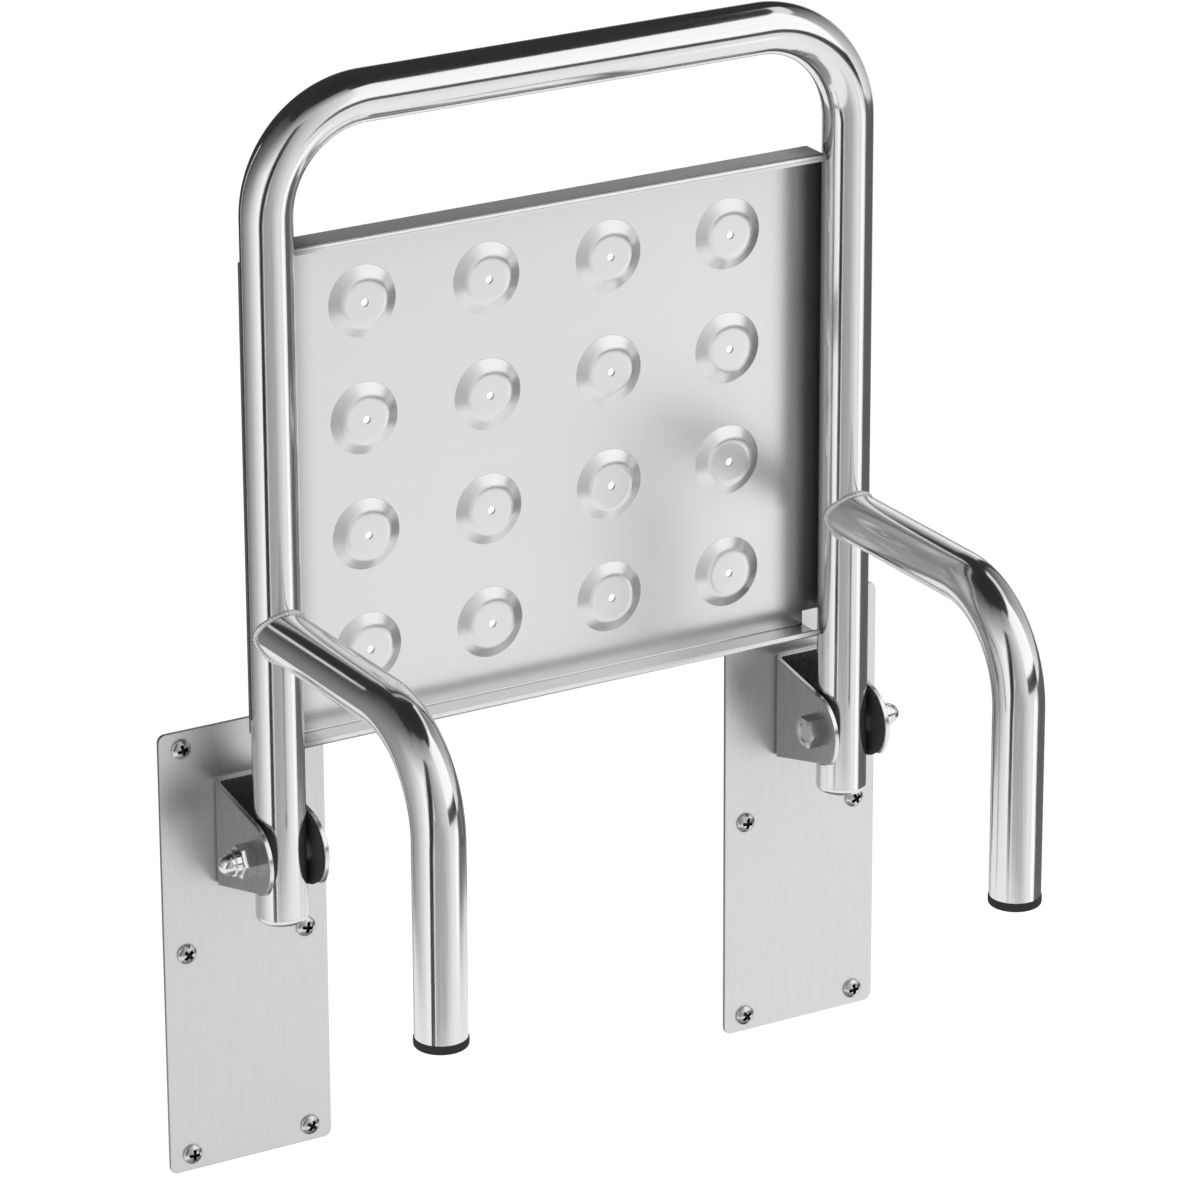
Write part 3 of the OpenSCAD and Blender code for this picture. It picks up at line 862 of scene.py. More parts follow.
@dataclass
class SupportArm:
    """One bent arm with the weld at its root and the rubber foot on its end.

    The root share is where the arm's even rings begin, in tube radii from the leg's axis. Each of the bead's
    wanders is a share of its radius, the number of its waves round the seam and its phase.
    """

    side: Side
    seat_frame: SeatFrame
    bend_r: float = 65 * MM
    root_share: float = 1.25
    clear: float = 0.02 * MM
    reach_steps: int = 8
    bend_steps: int = 48
    drop_steps: int = 10
    bead_r: float = 1.5 * MM
    bead_pitch: float = 2.1 * MM
    bead_ripple: float = 0.24
    bead_lean: float = 0.9
    bead_power: float = 0.8
    bead_kink: float = 0.30
    bead_wanders: tuple[tuple[float, int, float], ...] = ((0.10, 5, 1.0), (0.06, 11, 2.0))
    bead_steps: int = 480
    bead_sides: int = 18
    foot_edge_r: float = 1.8 * MM
    foot_lip: float = 0.5 * MM
    sole_hollow: float = 0.5 * MM
    sole_inner_w: float = 3.5 * MM
    sole_rim_w: float = 3 * MM
    sole_rounding: float = 0.4 * MM
    foot_sides: int = 72
    foot_edge_steps: int = 8

    def __post_init__(self) -> None:
        """Takes the arm's place from the frame."""
        low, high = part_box(self.side.prefix + "support_arm")
        self.tube_r = (high.x - low.x) / 2
        self.axis_x = (high.x + low.x) / 2
        self.foot_y = low.y + self.tube_r
        self.rise_z = high.z - self.tube_r
        self.low_z = low.z

    def follow_leg(self, ring: np.ndarray) -> np.ndarray:
        """Moves a circle's points along the arm to the leg: y is the leg's axis less sqrt(R^2 - x^2).

        Args:
            ring: Points of the circle.

        Returns:
            The moved points.
        """
        moved = ring.copy()
        leg_r = self.seat_frame.tube_r + self.clear
        offset = ring[:, 0] - self.axis_x
        moved[:, 1] = self.seat_frame.axis_y - np.sqrt(np.maximum(leg_r ** 2 - offset ** 2, 0.0))
        return moved

    def build_arm(self) -> None:
        """The arm: a circle carried from the leg, round the bend and down. Its root follows the leg."""
        node = self.side.prefix + "support_arm"
        start_y = self.seat_frame.axis_y - self.root_share * self.tube_r
        route = Route((self.axis_x, start_y + self.clear, self.rise_z), (0, -1, 0), (1, 0, 0))
        route.straight(self.clear, 1).straight(start_y - self.foot_y - self.bend_r, self.reach_steps)
        route.turn(self.bend_r, math.pi / 2, self.bend_steps)
        route.straight(self.rise_z - self.bend_r - self.low_z, self.drop_steps)
        piece = pipe(node + "_skin", route, self.tube_r, self.seat_frame.wall, self.seat_frame.sides,
                     self.follow_leg)
        settle(piece, TUBE_STEEL, Body.SEAT, "tube_steel", node)

    def build_weld(self) -> None:
        """The weld bead: a small round carried along the seam of arm and leg, with a ripple along it.

        The seam is (R sin t, -R |cos t|, R cos t) from the leg's axis, its kinks softened. The bead's radius
        is its plain radius times 1 plus a rippling share whose crests curve forward round the bead.
        """
        node = self.side.prefix + "arm_weld"
        turn = full_turn(self.bead_steps)
        away = np.sqrt(np.cos(turn) ** 2 + self.bead_kink ** 2)
        middle = np.array([self.axis_x, self.seat_frame.axis_y, self.rise_z])
        centre = middle + self.tube_r * stacked(np.sin(turn), -away, np.cos(turn))
        step = np.roll(centre, -1, axis=0) - np.roll(centre, 1, axis=0)
        tangent = step / np.linalg.norm(step, axis=1, keepdims=True)
        outward = centre - middle
        outward -= (outward * tangent).sum(axis=1, keepdims=True) * tangent
        outward /= np.linalg.norm(outward, axis=1, keepdims=True)
        third = np.cross(tangent, outward)
        length = np.cumsum(np.linalg.norm(step, axis=1)) / 2
        phase = length / length[-1] * round(length[-1] / self.bead_pitch) * math.pi
        around = full_turn(self.bead_sides)
        wander = sum(share * np.sin(waves * turn + start) for share, waves, start in self.bead_wanders)
        crest = np.abs(np.sin(phase[:, None] + self.bead_lean * np.cos(around))) ** self.bead_power
        radius = self.bead_r * (1 + self.bead_ripple * (crest - 0.5) + wander[:, None])
        points = centre[:, None] + radius[..., None] * (np.cos(around)[None, :, None] * outward[:, None]
                                                        + np.sin(around)[None, :, None] * third[:, None])
        skin = Skin(node + "_skin")
        skin.grid(np.concatenate([points, points[:1]]), wrap=True)
        settle(skin.build(crease_deg=BEAD_CREASE_DEG, weighted=False), WELD_STEEL, Body.SEAT, "weld_steel",
               node)

    def build_foot(self) -> None:
        """The rubber foot: an outline with a hollow sole and rounded edges, turned about the arm."""
        node = self.side.prefix + "foot_cap"
        low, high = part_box(node)
        radius = (high.x - low.x) / 2
        height = self.low_z - low.z
        outline = soft_profile([
            (0, self.sole_hollow, 0), (radius - self.sole_inner_w, self.sole_hollow, self.sole_rounding),
            (radius - self.sole_rim_w, 0, self.sole_rounding), (radius, 0, self.foot_edge_r),
            (radius, height, self.foot_lip), (0, height, 0)], steps=self.foot_edge_steps)
        axes = Axes((self.axis_x, self.foot_y, low.z))
        settle(turned(node + "_skin", outline, axes, self.foot_sides), FOOT_RUBBER, Body.SEAT, "foot_rubber",
               node)


@dataclass
class SeatTray:
    """The sheet tray with its dimples, flanges and side lips, and the beads that hold it.

    The cell's shares are where its rings stand between the dimple and the cell's edge. The bead's close is
    the share of its half length over which an end rounds off.
    """

    seat_frame: SeatFrame
    sheet: float = 1.5 * MM
    edge: float = 0.18 * MM
    inner_bend_r: float = 1.1 * MM
    inner_bend_lead: float = 1 * MM
    inner_bend_steps: int = 6
    side_bend_r: float = 2.4 * MM
    side_bend_steps: int = 10
    lip_height: float = 3 * MM
    flange_half: float = 183 * MM
    notch: float = 10 * MM
    margin_steps: int = 3
    columns: int = 4
    rows: int = 4
    pitch_x: float = 84.5 * MM
    pitch_z: float = 73.5 * MM
    dimple_r: float = 22.75 * MM
    flat_r: float = 14.5 * MM
    dimple_depth: float = 3.5 * MM
    dimple_land: float = 2 * MM
    dimple_steps: int = 7
    drain_r: float = 2.5 * MM
    rim_rounding: float = 1.2 * MM
    flat_rounding: float = 13 * MM
    cell_steps: int = 22
    cell_shares: tuple[float, ...] = (0.3, 0.65, 1.0)
    bead_count: int = 3
    bead_l: float = 24 * MM
    bead_r: float = 1.76 * MM
    bead_ripple: float = 0.10
    bead_waves: float = 6.5
    bead_lean: float = 0.8
    bead_close: float = 0.08
    bead_points: int = 97
    bead_sides: int = 16

    def __post_init__(self) -> None:
        """Takes the tray's box from the frame, and finds where its side lips land on the tubes."""
        low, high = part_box("seat_tray")
        self.low_z, self.high_z = low.z, high.z
        self.mid_z = (low.z + high.z) / 2
        self.front_y = high.y - self.sheet
        self.flange_y = low.y
        self.cells_x = self.columns * self.pitch_x / 2
        self.cells_z = self.rows * self.pitch_z / 2
        self.lip_x = high.x - self.sheet
        offset = self.lip_x - self.seat_frame.axis_x
        self.touch_y = self.seat_frame.axis_y + math.sqrt(self.seat_frame.tube_r ** 2 - offset ** 2)

    def build_sheet(self) -> None:
        """The tray's room side as patches that share their edges, thickened towards the wall.

        Each dimple's patch goes from the drain hole's circle over the dimple's rings to its rectangular cell.
        The strips round the cells carry the section of flange and lip.
        """
        skin = Skin("seat_tray_skin")
        for i in range(self.columns):
            for j in range(self.rows):
                self.add_cell(skin, ((i - (self.columns - 1) / 2) * self.pitch_x,
                                     self.mid_z + (j - (self.rows - 1) / 2) * self.pitch_z))
        cell_columns = np.linspace(-self.cells_x, self.cells_x, self.columns * self.cell_steps + 1)
        margin = np.linspace(self.cells_x, self.flange_half, self.margin_steps + 1)
        strip_x = np.concatenate([-margin[:0:-1], cell_columns, margin[1:]])
        half_h = (self.high_z - self.low_z) / 2
        inner = half_h - self.sheet
        back_y = self.flange_y + self.sheet
        ends = soft_profile([
            (self.cells_z, self.front_y, 0), (half_h - self.notch, self.front_y, 0),
            (inner - self.inner_bend_r - self.inner_bend_lead, self.front_y, 0),
            (inner, self.front_y, self.inner_bend_r), (inner, back_y, self.inner_bend_r),
            (inner - self.lip_height, back_y, 0)], steps=self.inner_bend_steps)
        for way in (-1, 1):
            skin.grid(stacked(strip_x[None, :], ends[:, 1:2], self.mid_z + way * ends[:, :1]))
        self.add_sides(skin, half_h - self.notch)
        piece = skin.build(facing=TO_ROOM, crease_deg=SHEET_CREASE_DEG)
        thicken(piece, self.sheet, -1.0, self.edge)
        settle(piece, TRAY_STEEL, Body.SEAT, "tray_steel", "seat_tray")

    def add_cell(self, skin: Skin, centre: tuple[float, float]) -> None:
        """Adds one dimple in its rectangular cell: circles up to past its rim, then rings to the cell's edge.

        Args:
            skin: The tray's skin.
            centre: Place of the dimple along x and z.
        """
        half_w, half_h = self.pitch_x / 2, self.pitch_z / 2
        outline = soft_profile([
            (self.drain_r, self.dimple_depth, 0), (self.flat_r, self.dimple_depth, self.flat_rounding),
            (self.dimple_r, 0, self.rim_rounding), (self.dimple_r + self.dimple_land, 0, 0)],
            steps=self.dimple_steps)
        flat = rings_to_edge((0.0, 0.0), outline[:, 0],
                             rectangle((-half_w, half_w), (-half_h, half_h), self.cell_steps),
                             self.cell_shares)
        depth = np.concatenate([outline[:, 1], np.zeros(len(self.cell_shares))])[:, None]
        skin.grid(stacked(centre[0] + flat[..., 0], self.front_y - depth, centre[1] + flat[..., 1]),
                  wrap=True)

    def add_sides(self, skin: Skin, side_z: float) -> None:
        """Adds the panel's side strips with the lips that land on the tubes.

        Args:
            skin: The tray's skin.
            side_z: Half height of the side lips.
        """
        margin = np.linspace(self.cells_x, self.flange_half, self.margin_steps + 1)
        lip = soft_profile([(self.flange_half, self.front_y, 0), (self.lip_x, self.front_y, self.side_bend_r),
                            (self.lip_x, self.touch_y, 0)], steps=self.side_bend_steps)
        whole = np.concatenate([stacked(margin[:-1], self.front_y), lip])
        cell_rows = np.linspace(-self.cells_z, self.cells_z, self.rows * self.cell_steps + 1)
        strips = ((whole, cell_rows), (lip, np.array([self.cells_z, side_z])),
                  (lip, np.array([-side_z, -self.cells_z])))
        for way in (-1, 1):
            for plan, heights in strips:
                skin.grid(stacked(way * plan[:, :1], plan[:, 1:2], self.mid_z + heights[None, :]))

    def build_welds(self, side: Side) -> None:
        """Short beads behind the tube: a round whose radius ripples along z and closes at both ends.

        At the share s of a bead's half length the radius is the plain one times sqrt(c (2 - c)), with c
        growing from 0 at the end to 1, times 1 plus a rippling share.

        Args:
            side: Side of the tube.
        """
        node = side.prefix + "tray_welds"
        low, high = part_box(node)
        skin = Skin(node + "_skin")
        share = np.linspace(-1, 1, self.bead_points)[:, None]
        around = full_turn(self.bead_sides)[None, :]
        close = np.clip((1 - np.abs(share)) / self.bead_close, 0, 1)
        wave = np.abs(np.sin(share * self.bead_waves * math.pi + self.bead_lean * np.cos(around)))
        radius = self.bead_r * np.sqrt(close * (2 - close)) * (1 + self.bead_ripple * (wave - 0.5))
        for middle in np.linspace(low.z + self.bead_l / 2, high.z - self.bead_l / 2, self.bead_count):
            axes = Axes((side.value * self.lip_x, self.touch_y, middle))
            skin.grid(axes.about(radius, around, share * self.bead_l / 2), wrap=True)
        settle(skin.build(crease_deg=BEAD_CREASE_DEG, weighted=False), WELD_STEEL, Body.SEAT, "weld_steel",
               node)


@dataclass(frozen=True)
class PlateScrew:
    """A pan head screw with a cross recess, a threaded shank and a point.

    The recess's shares are where its middle, its floor and its wall stand between the middle and its edge.
    The drops are how far its wall and its edge lie under the crown. The softs are small roundings.
    """

    head_r: float = 6.4 * MM
    head_h: float = 4 * MM
    head_side_h: float = 1.2 * MM
    head_sides: int = 96
    crown_rings: int = 4
    crown_end_w: float = 0.35 * MM
    rim_soft: float = 0.12 * MM
    side_soft: float = 0.2 * MM
    foot_soft: float = 0.15 * MM
    recess_w: float = 7.2 * MM
    recess_arm_w: float = 2.1 * MM
    recess_depth: float = 2.2 * MM
    recess_dip: float = 0.3 * MM
    recess_shares: tuple[float, float, float] = (0.02, 0.62, 0.93)
    recess_wall_drop: float = 0.35 * MM
    recess_edge_drop: float = 0.06 * MM
    recess_lip_w: float = 0.12 * MM
    neck_r: float = 2.8 * MM
    thread_r: float = 3 * MM
    core_r: float = 2.1 * MM
    thread_pitch: float = 2.6 * MM
    thread_start_l: float = 1.5 * MM
    crest_sharpness: float = 3.2
    tip_l: float = 5 * MM
    tip_power: float = 0.8
    tip_r: float = 0.02 * MM
    thread_rows: int = 230
    thread_sides: int = 28

    def crown(self, radius: float | np.ndarray) -> float | np.ndarray:
        """Height of the crown at a radius: the top of a ball less its drop.

        Args:
            radius: Distance from the screw's axis.

        Returns:
            The height over the plate.
        """
        crown_h = self.head_h - self.head_side_h
        ball_r = (self.head_r ** 2 + crown_h ** 2) / (2 * crown_h)
        return self.head_h - ball_r + np.sqrt(ball_r ** 2 - radius ** 2)

    def add_head(self, skin: Skin, axes: Axes, turn: float) -> None:
        """Adds a pan head with a cross recess.

        The recess's edge in each direction t is the larger of the exits from its two bars: the lesser of half
        the length over |cos t| and half the width over |sin t|, and the same with cos and sin exchanged. The
        rings go from the recess's sunken middle over that edge to the crown, and down the side.

        Args:
            skin: Where the head goes.
            axes: Its place, with w to the room.
            turn: Turn of the cross in radians.
        """
        quarters, corner = full_turn(4), math.atan2(self.recess_arm_w, self.recess_w)
        angles = np.concatenate([full_turn(self.head_sides), quarters + corner, quarters - corner,
                                 quarters + math.pi / 4])
        angles = np.unique(np.round(angles % math.tau, ANGLE_DIGITS))
        cos, sin = np.abs(np.cos(angles)) + TINY, np.abs(np.sin(angles)) + TINY
        half_l, half_a = self.recess_w / 2, self.recess_arm_w / 2
        exit_r = np.maximum(np.minimum(half_l / cos, half_a / sin), np.minimum(half_a / cos, half_l / sin))
        middle, floor, wall = self.recess_shares
        floor_h = self.head_h - self.recess_depth
        lip = exit_r + self.recess_lip_w
        rest = self.head_r - self.crown_end_w - lip
        recess = [(0.0, floor_h - self.recess_dip), (exit_r * middle, floor_h - self.recess_dip),
                  (exit_r * floor, floor_h), (exit_r * wall, self.crown(exit_r) - self.recess_wall_drop),
                  (exit_r, self.crown(exit_r) - self.recess_edge_drop)]
        crown = [(lip + rest * share, self.crown(lip + rest * share))
                 for share in np.linspace(0, 1, self.crown_rings + 1)]
        side = [(self.head_r - self.rim_soft, self.crown(self.head_r) + self.rim_soft),
                (self.head_r, self.head_side_h - self.side_soft), (self.head_r, self.foot_soft),
                (self.head_r - self.foot_soft, 0.0), (0.0, 0.0)]
        rows = recess + crown + side
        # The recess rows get 1 as their first surface coordinate, where the finish paints shade.
        hollow = np.zeros((len(rows), len(angles) + 1, 2))
        hollow[:len(recess)] = 1.0
        skin.rings(axes, rows, angles + turn, hollow)

    def add_thread(self, skin: Skin, axes: Axes, neck_l: float, length: float) -> None:
        """Adds the neck, the threaded shank and its point.

        The thread's radius is the core's plus its height times a sharp crest, 1 - k |saw| and not under 0.
        The saw goes once through -1/2 to 1/2 each pitch along the axis and turns once with the angle. All of
        it shrinks to the point.

        Args:
            skin: Where the shank goes.
            axes: Its place, with w to the room.
            neck_l: Length of the plain neck.
            length: Length of the neck and the thread.
        """
        around = full_turn(self.thread_sides)
        depth = np.linspace(neck_l, length, self.thread_rows)[:, None]
        saw = (depth / self.thread_pitch - around / math.tau) % 1.0 - 0.5
        crest = np.clip(1 - self.crest_sharpness * np.abs(saw), 0, 1)
        shrink = np.clip((length - depth) / self.tip_l, 0, 1) ** self.tip_power
        start = np.clip((depth - neck_l) / self.thread_start_l, 0, 1)
        thread = shrink * (self.core_r + (self.thread_r - self.core_r) * crest * start)
        rows = [(0.0, 0.0), (self.neck_r, 0.0), (self.neck_r, -neck_l),
                *zip(np.maximum(thread, self.tip_r), -depth[:, 0]), (0.0, -length)]
        skin.rings(axes, rows, around, np.zeros((len(rows), self.thread_sides + 1, 2)))


@dataclass
class WallPlate:
    """One wall plate with its six screws."""

    side: Side
    screw: PlateScrew = PlateScrew()
    corner_r: float = 5 * MM
    hole_r: float = 3.5 * MM
    hole_land: float = 0.6 * MM
    edge: float = 0.25 * MM
    screw_inset_x: float = 15 * MM
    screw_inset_z: float = 11 * MM
    turns_deg: tuple[float, ...] = (18.0, 63.0, 35.0, 75.0, 8.0, 50.0)
    side_turn_deg: float = 20.0
    crease_deg: float = 40.0
    edge_steps: int = 24
    cell_shares: tuple[float, ...] = (0.5, 1.0)

    def __post_init__(self) -> None:
        """Takes the plate's box from the frame, and finds the screws' places from the plate's centre."""
        low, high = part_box(self.side.prefix + "wall_plate")
        self.centre_x = (low.x + high.x) / 2
        self.half_w = (high.x - low.x) / 2
        self.half_h = (high.z - low.z) / 2
        self.mid_z = (high.z + low.z) / 2
        self.thickness = high.y - low.y
        self.front_y = low.y
        self.screw_x, self.screw_z = self.half_w - self.screw_inset_x, self.half_h - self.screw_inset_z
        self.places = [(i * self.screw_x, j * self.screw_z) for i in (-1, 1) for j in (-1, 0, 1)]

    def build_plate(self) -> None:
        """The plate's front as six cells, each from its hole's circle to its edge, thickened backwards."""
        node = self.side.prefix + "wall_plate"
        skin = Skin(node + "_skin")
        for place in self.places:
            row = round(place[1] / self.screw_z)
            low_z = -self.half_h if row < 0 else (row - 0.5) * self.screw_z
            high_z = self.half_h if row > 0 else (row + 0.5) * self.screw_z
            self.add_cell(skin, place, (-self.half_w, 0.0) if place[0] < 0 else (0.0, self.half_w),
                          (low_z, high_z))
        piece = skin.build(facing=TO_ROOM, crease_deg=SHEET_CREASE_DEG)
        thicken(piece, self.thickness, -1.0, self.edge)
        # The cut edges get the dark edge colour: painted shade.
        settle(piece, PLATE_STEEL, Body.WALL, "plate_steel", node, rim=SHADED_PLATE_EDGE_STEEL)

    def add_cell(self, skin: Skin, hole: tuple[float, float], span_x: tuple[float, float],
                 span_z: tuple[float, float]) -> None:
        """Adds one cell of the plate: rings from the hole's circle to the cell's evenly divided edge.

        Args:
            skin: The plate's skin.
            hole: Place of the hole from the plate's centre.
            span_x: The cell's lowest and highest x from there.
            span_z: The cell's lowest and highest z from there.
        """
        edge = self.rounded(rectangle(span_x, span_z, self.edge_steps))
        radii = np.array([self.hole_r, self.hole_r + self.hole_land])
        flat = rings_to_edge(hole, radii, edge, self.cell_shares)
        skin.grid(stacked(self.centre_x + flat[..., 0], self.front_y, self.mid_z + flat[..., 1]), wrap=True)

    def rounded(self, points: np.ndarray) -> np.ndarray:
        """Bends edge points near a corner of the plate onto its round.

        A point at the distance d along the edge from the sharp corner, with d under the round's length L,
        goes to the round, d / L of the way from the round's middle to its end.

        Args:
            points: Points of a cell's edge from the plate's centre.

        Returns:
            The points, moved where they lie near a corner of the plate.
        """
        length = self.corner_r * math.pi / 2
        way = np.where(points < 0, -1.0, 1.0)
        corner = way * np.array([self.half_w, self.half_h])
        from_corner = np.abs(points - corner)
        distance = from_corner.sum(axis=1)
        near = (from_corner.min(axis=1) < TINY) & (distance < length)
        turn = (np.clip(distance / length, 0, 1) + 1) * math.pi / 4
        angle = np.where(from_corner[:, 0] > from_corner[:, 1], turn, math.pi / 2 - turn)
        moved = corner - way * self.corner_r + way * self.corner_r * circle_points(angle)
        return np.where(near[:, None], moved, points)

    def build_screws(self) -> None:
        """The plate's six screws, heads to the room and points into the wall."""
        node = self.side.prefix + "plate_screws"
        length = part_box(node)[1].y - self.front_y
        skin = Skin(node + "_skin")
        for (x, z), turn in zip(self.places, self.turns_deg):
            axes = Axes((self.centre_x + x, self.front_y, self.mid_z + z), (1, 0, 0), (0, 0, 1), (0, -1, 0))
            self.screw.add_head(skin, axes, math.radians(turn + self.side_turn_deg * self.side.value))
            self.screw.add_thread(skin, axes, self.thickness, length)
        settle(skin.build(crease_deg=self.crease_deg), SCREW_STEEL, Body.WALL, "screw_steel", node)


@dataclass
class Hinge:
    """One bracket with its pivot bolt, cap nut and washers.

    The ear's shares are where its rings stand between the bolt hole and its outline. The softs are small
    roundings.
    """

    side: Side
    sheet: float = 3 * MM
    inner_bend_r: float = 2 * MM
    bend_steps: int = 8
    nose_r: float = 25 * MM
    foot_rise_deg: float = 14.5
    edge: float = 0.35 * MM
    edge_steps: int = 14
    hole_r: float = 6.25 * MM
    hole_land: float = 0.8 * MM
    ear_shares: tuple[float, ...] = (0.5, 0.93, 1.0)
    flats: float = 18.5 * MM
    chamfer: float = 1.2 * MM
    hex_soft: float = 0.12 * MM
    hex_steps: int = 96
    hex_crease_deg: float = 30.0
    dish_r: float = 6 * MM
    dish_depth: float = 0.6 * MM
    dish_share: float = 0.6
    dish_wall_w: float = 0.5 * MM
    dish_edge_drop: float = 0.15 * MM
    dish_lip_w: float = 0.2 * MM
    shank_r: float = 6 * MM
    shank_chamfer: float = 1 * MM
    shank_sides: int = 48
    nut_hex_h: float = 9 * MM
    collar_r: float = 8.2 * MM
    collar_h: float = 4 * MM
    collar_share: float = 0.9
    collar_sink: float = 0.2 * MM
    collar_edge_r: float = 0.5 * MM
    dome_r: float = 6.8 * MM
    dome_foot_w: float = 0.25 * MM
    dome_foot_h: float = 0.3 * MM
    dome_points: int = 20
    nut_sides: int = 64
    nut_edge_steps: int = 4
    washer_edge_r: float = 0.3 * MM
    washer_edge_steps: int = 3
    washer_sides: int = 96

    def __post_init__(self) -> None:
        """Takes the places from the frame."""
        low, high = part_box(self.side.prefix + "hinge_bracket")
        self.axis_x = (low.x + high.x) / 2
        self.ear_out = (high.x - low.x) / 2
        self.back_y = high.y
        self.low_z, self.high_z = low.z, high.z
        bush_low, bush_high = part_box(self.side.prefix + "pivot_bush")
        self.bush_x = bush_high.x
        self.pivot_y = (bush_low.y + bush_high.y) / 2
        self.pivot_z = (bush_low.z + bush_high.z) / 2
        self.reach = self.back_y - self.pivot_y

    def ear_outline(self, start: float) -> np.ndarray:
        """Outline of an ear from above its bend line, round its nose and back, and then up the bend line.

        Distances are from the plate and heights from the pivot. The upper edge runs from the bracket's upper
        corner and touches the nose's circle. The lower edge rises at its own angle until it meets the circle.

        Args:
            start: Distance of the bend line from the plate.

        Returns:
            The outline's points. The last ones, as many as the edge's steps, lie on the bend line.
        """
        centre = np.array([self.reach, 0.0])
        corner = np.array([0.0, self.high_z - self.pivot_z])
        to_centre = centre - corner
        distance = np.linalg.norm(to_centre)
        tilt = math.atan2(to_centre[1], to_centre[0]) + math.asin(self.nose_r / distance)
        high_dir = np.array([math.cos(tilt), math.sin(tilt)])
        touch = corner + math.sqrt(distance ** 2 - self.nose_r ** 2) * high_dir
        rise = math.radians(self.foot_rise_deg)
        low_dir = np.array([math.cos(rise), math.sin(rise)])
        low_start = np.array([0.0, self.low_z - self.pivot_z])
        middle = (centre - low_start) @ low_dir
        gap = np.linalg.norm(low_start + middle * low_dir - centre)
        meet = low_start + (middle + math.sqrt(self.nose_r ** 2 - gap ** 2)) * low_dir
        high_line = corner + start / math.cos(tilt) * high_dir
        low_line = low_start + start / math.cos(rise) * low_dir
        share = np.linspace(0, 1, self.edge_steps + 1)[:-1, None]
        first, last = (math.atan2(*(point - centre)[::-1]) for point in (touch, meet))
        nose = centre + self.nose_r * circle_points(np.linspace(first, last, 2 * self.edge_steps + 1))
        return np.concatenate([high_line + share * (touch - high_line), nose[:-1],
                               meet + share * (low_line - meet), low_line + share * (high_line - low_line)])

    def build_bracket(self) -> None:
        """The bracket's middle surface, thickened to both sides.

        An ear's rings go from the bolt hole's circle to its outline. Between the bend lines the section of
        bend, web and bend is carried from the lower edge to the upper.
        """
        node = self.side.prefix + "hinge_bracket"
        skin = Skin(node + "_skin")
        half = self.sheet / 2
        middle = self.ear_out - half
        bend_r = self.inner_bend_r + half
        start = half + bend_r
        outline = self.ear_outline(start)
        radii = np.array([self.hole_r, self.hole_r + self.hole_land])
        flat = rings_to_edge((self.reach, 0.0), radii, outline, self.ear_shares)
        for way in (-1, 1):
            skin.grid(stacked(self.axis_x + way * middle, self.back_y - flat[..., 0],
                              self.pivot_z + flat[..., 1]), wrap=True)
        line = np.append(outline[-self.edge_steps:, 1], outline[0, 1])
        plan = soft_profile([(-middle, start, 0), (-middle, half, bend_r), (middle, half, bend_r),
                             (middle, start, 0)], steps=self.bend_steps)
        share = (line - line[0]) / (line[-1] - line[0])
        depth = plan[:, 1:2] / start
        low, high = self.low_z - self.pivot_z, self.high_z - self.pivot_z
        heights = (low + (line[0] - low) * depth) * (1 - share) + (high + (line[-1] - high) * depth) * share
        skin.grid(stacked(self.axis_x + plan[:, :1], self.back_y - plan[:, 1:2], self.pivot_z + heights))
        piece = skin.build(facing=TO_ROOM, crease_deg=SHEET_CREASE_DEG)
        thicken(piece, self.sheet, 0.0, self.edge)
        # Darker faces and lighter cut edges: painted shade and painted highlight.
        settle(piece, BRACKET_STEEL, Body.WALL, "bracket_steel", node, rim=HIGHLIT_BRACKET_EDGE_STEEL)

    def on_pivot(self, way: int, distance: float) -> Axes:
        """Axes on the pivot at a distance from the leg's middle, w pointing away from it.

        Args:
            way: -1 or 1, to the left or the right.
            distance: The distance from the leg's middle.

        Returns:
            The axes.
        """
        return Axes((self.axis_x + way * distance, self.pivot_y, self.pivot_z), (0, way, 0), (0, 0, 1),
                    (way, 0, 0))

    def add_hex(self, skin: Skin, axes: Axes, height: float, inner: list[tuple[float, float]]) -> None:
        """Adds a chamfered hexagon: inner rings, flat top, the chamfer's cone, the sides and the underside.

        Its edge is half the flats over cos of the angle to a flat. The cone falls by half of what the radius
        grows beyond the corner's radius less the chamfer. Two corners point at the wall and the room, as in
        the frame.

        Args:
            skin: Where the hexagon goes.
            axes: Its place, with w along the pivot.
            height: Height of the hexagon over the ear.
            inner: Rings inside the flat top, as radius and height.
        """
        sixth = math.pi / 3
        angles = full_turn(self.hex_steps)
        edge = self.flats / 2 / np.cos((angles + sixth / 2) % sixth - sixth / 2)
        corner = self.flats / math.sqrt(3) - self.chamfer
        drop = np.maximum(edge - corner, 0) / 2
        soft = self.hex_soft
        top = height - drop
        rows = [*inner, (np.minimum(edge, corner) - soft, height), (edge - soft / 2, top - soft / 3),
                (edge, top - soft), (edge, soft), (edge - soft, 0.0), (0.0, 0.0)]
        skin.rings(axes, rows, angles + sixth / 2)

    def build_bolt(self) -> None:
        """The pivot bolt: a hexagon head with a shallow dish, and its shank."""
        node = self.side.prefix + "pivot_bolt"
        low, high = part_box(node)
        axes = self.on_pivot(-self.side.value, self.ear_out)
        head_h = min(abs(low.x - axes.origin[0]), abs(high.x - axes.origin[0]))
        floor = head_h - self.dish_depth
        skin = Skin(node + "_skin")
        self.add_hex(skin, axes, head_h, [
            (0.0, floor), (self.dish_share * self.dish_r, floor), (self.dish_r - self.dish_wall_w, floor),
            (self.dish_r, head_h - self.dish_edge_drop), (self.dish_r + self.dish_lip_w, head_h)])
        length = high.x - low.x - head_h
        shank = [(0.0, -length), (self.shank_r - self.shank_chamfer, -length),
                 (self.shank_r, self.shank_chamfer - length), (self.shank_r, 0.0), (0.0, 0.0)]
        skin.rings(axes, shank, full_turn(self.shank_sides))
        settle(skin.build(crease_deg=self.hex_crease_deg), BOLT_STEEL, Body.WALL, "bolt_steel", node)

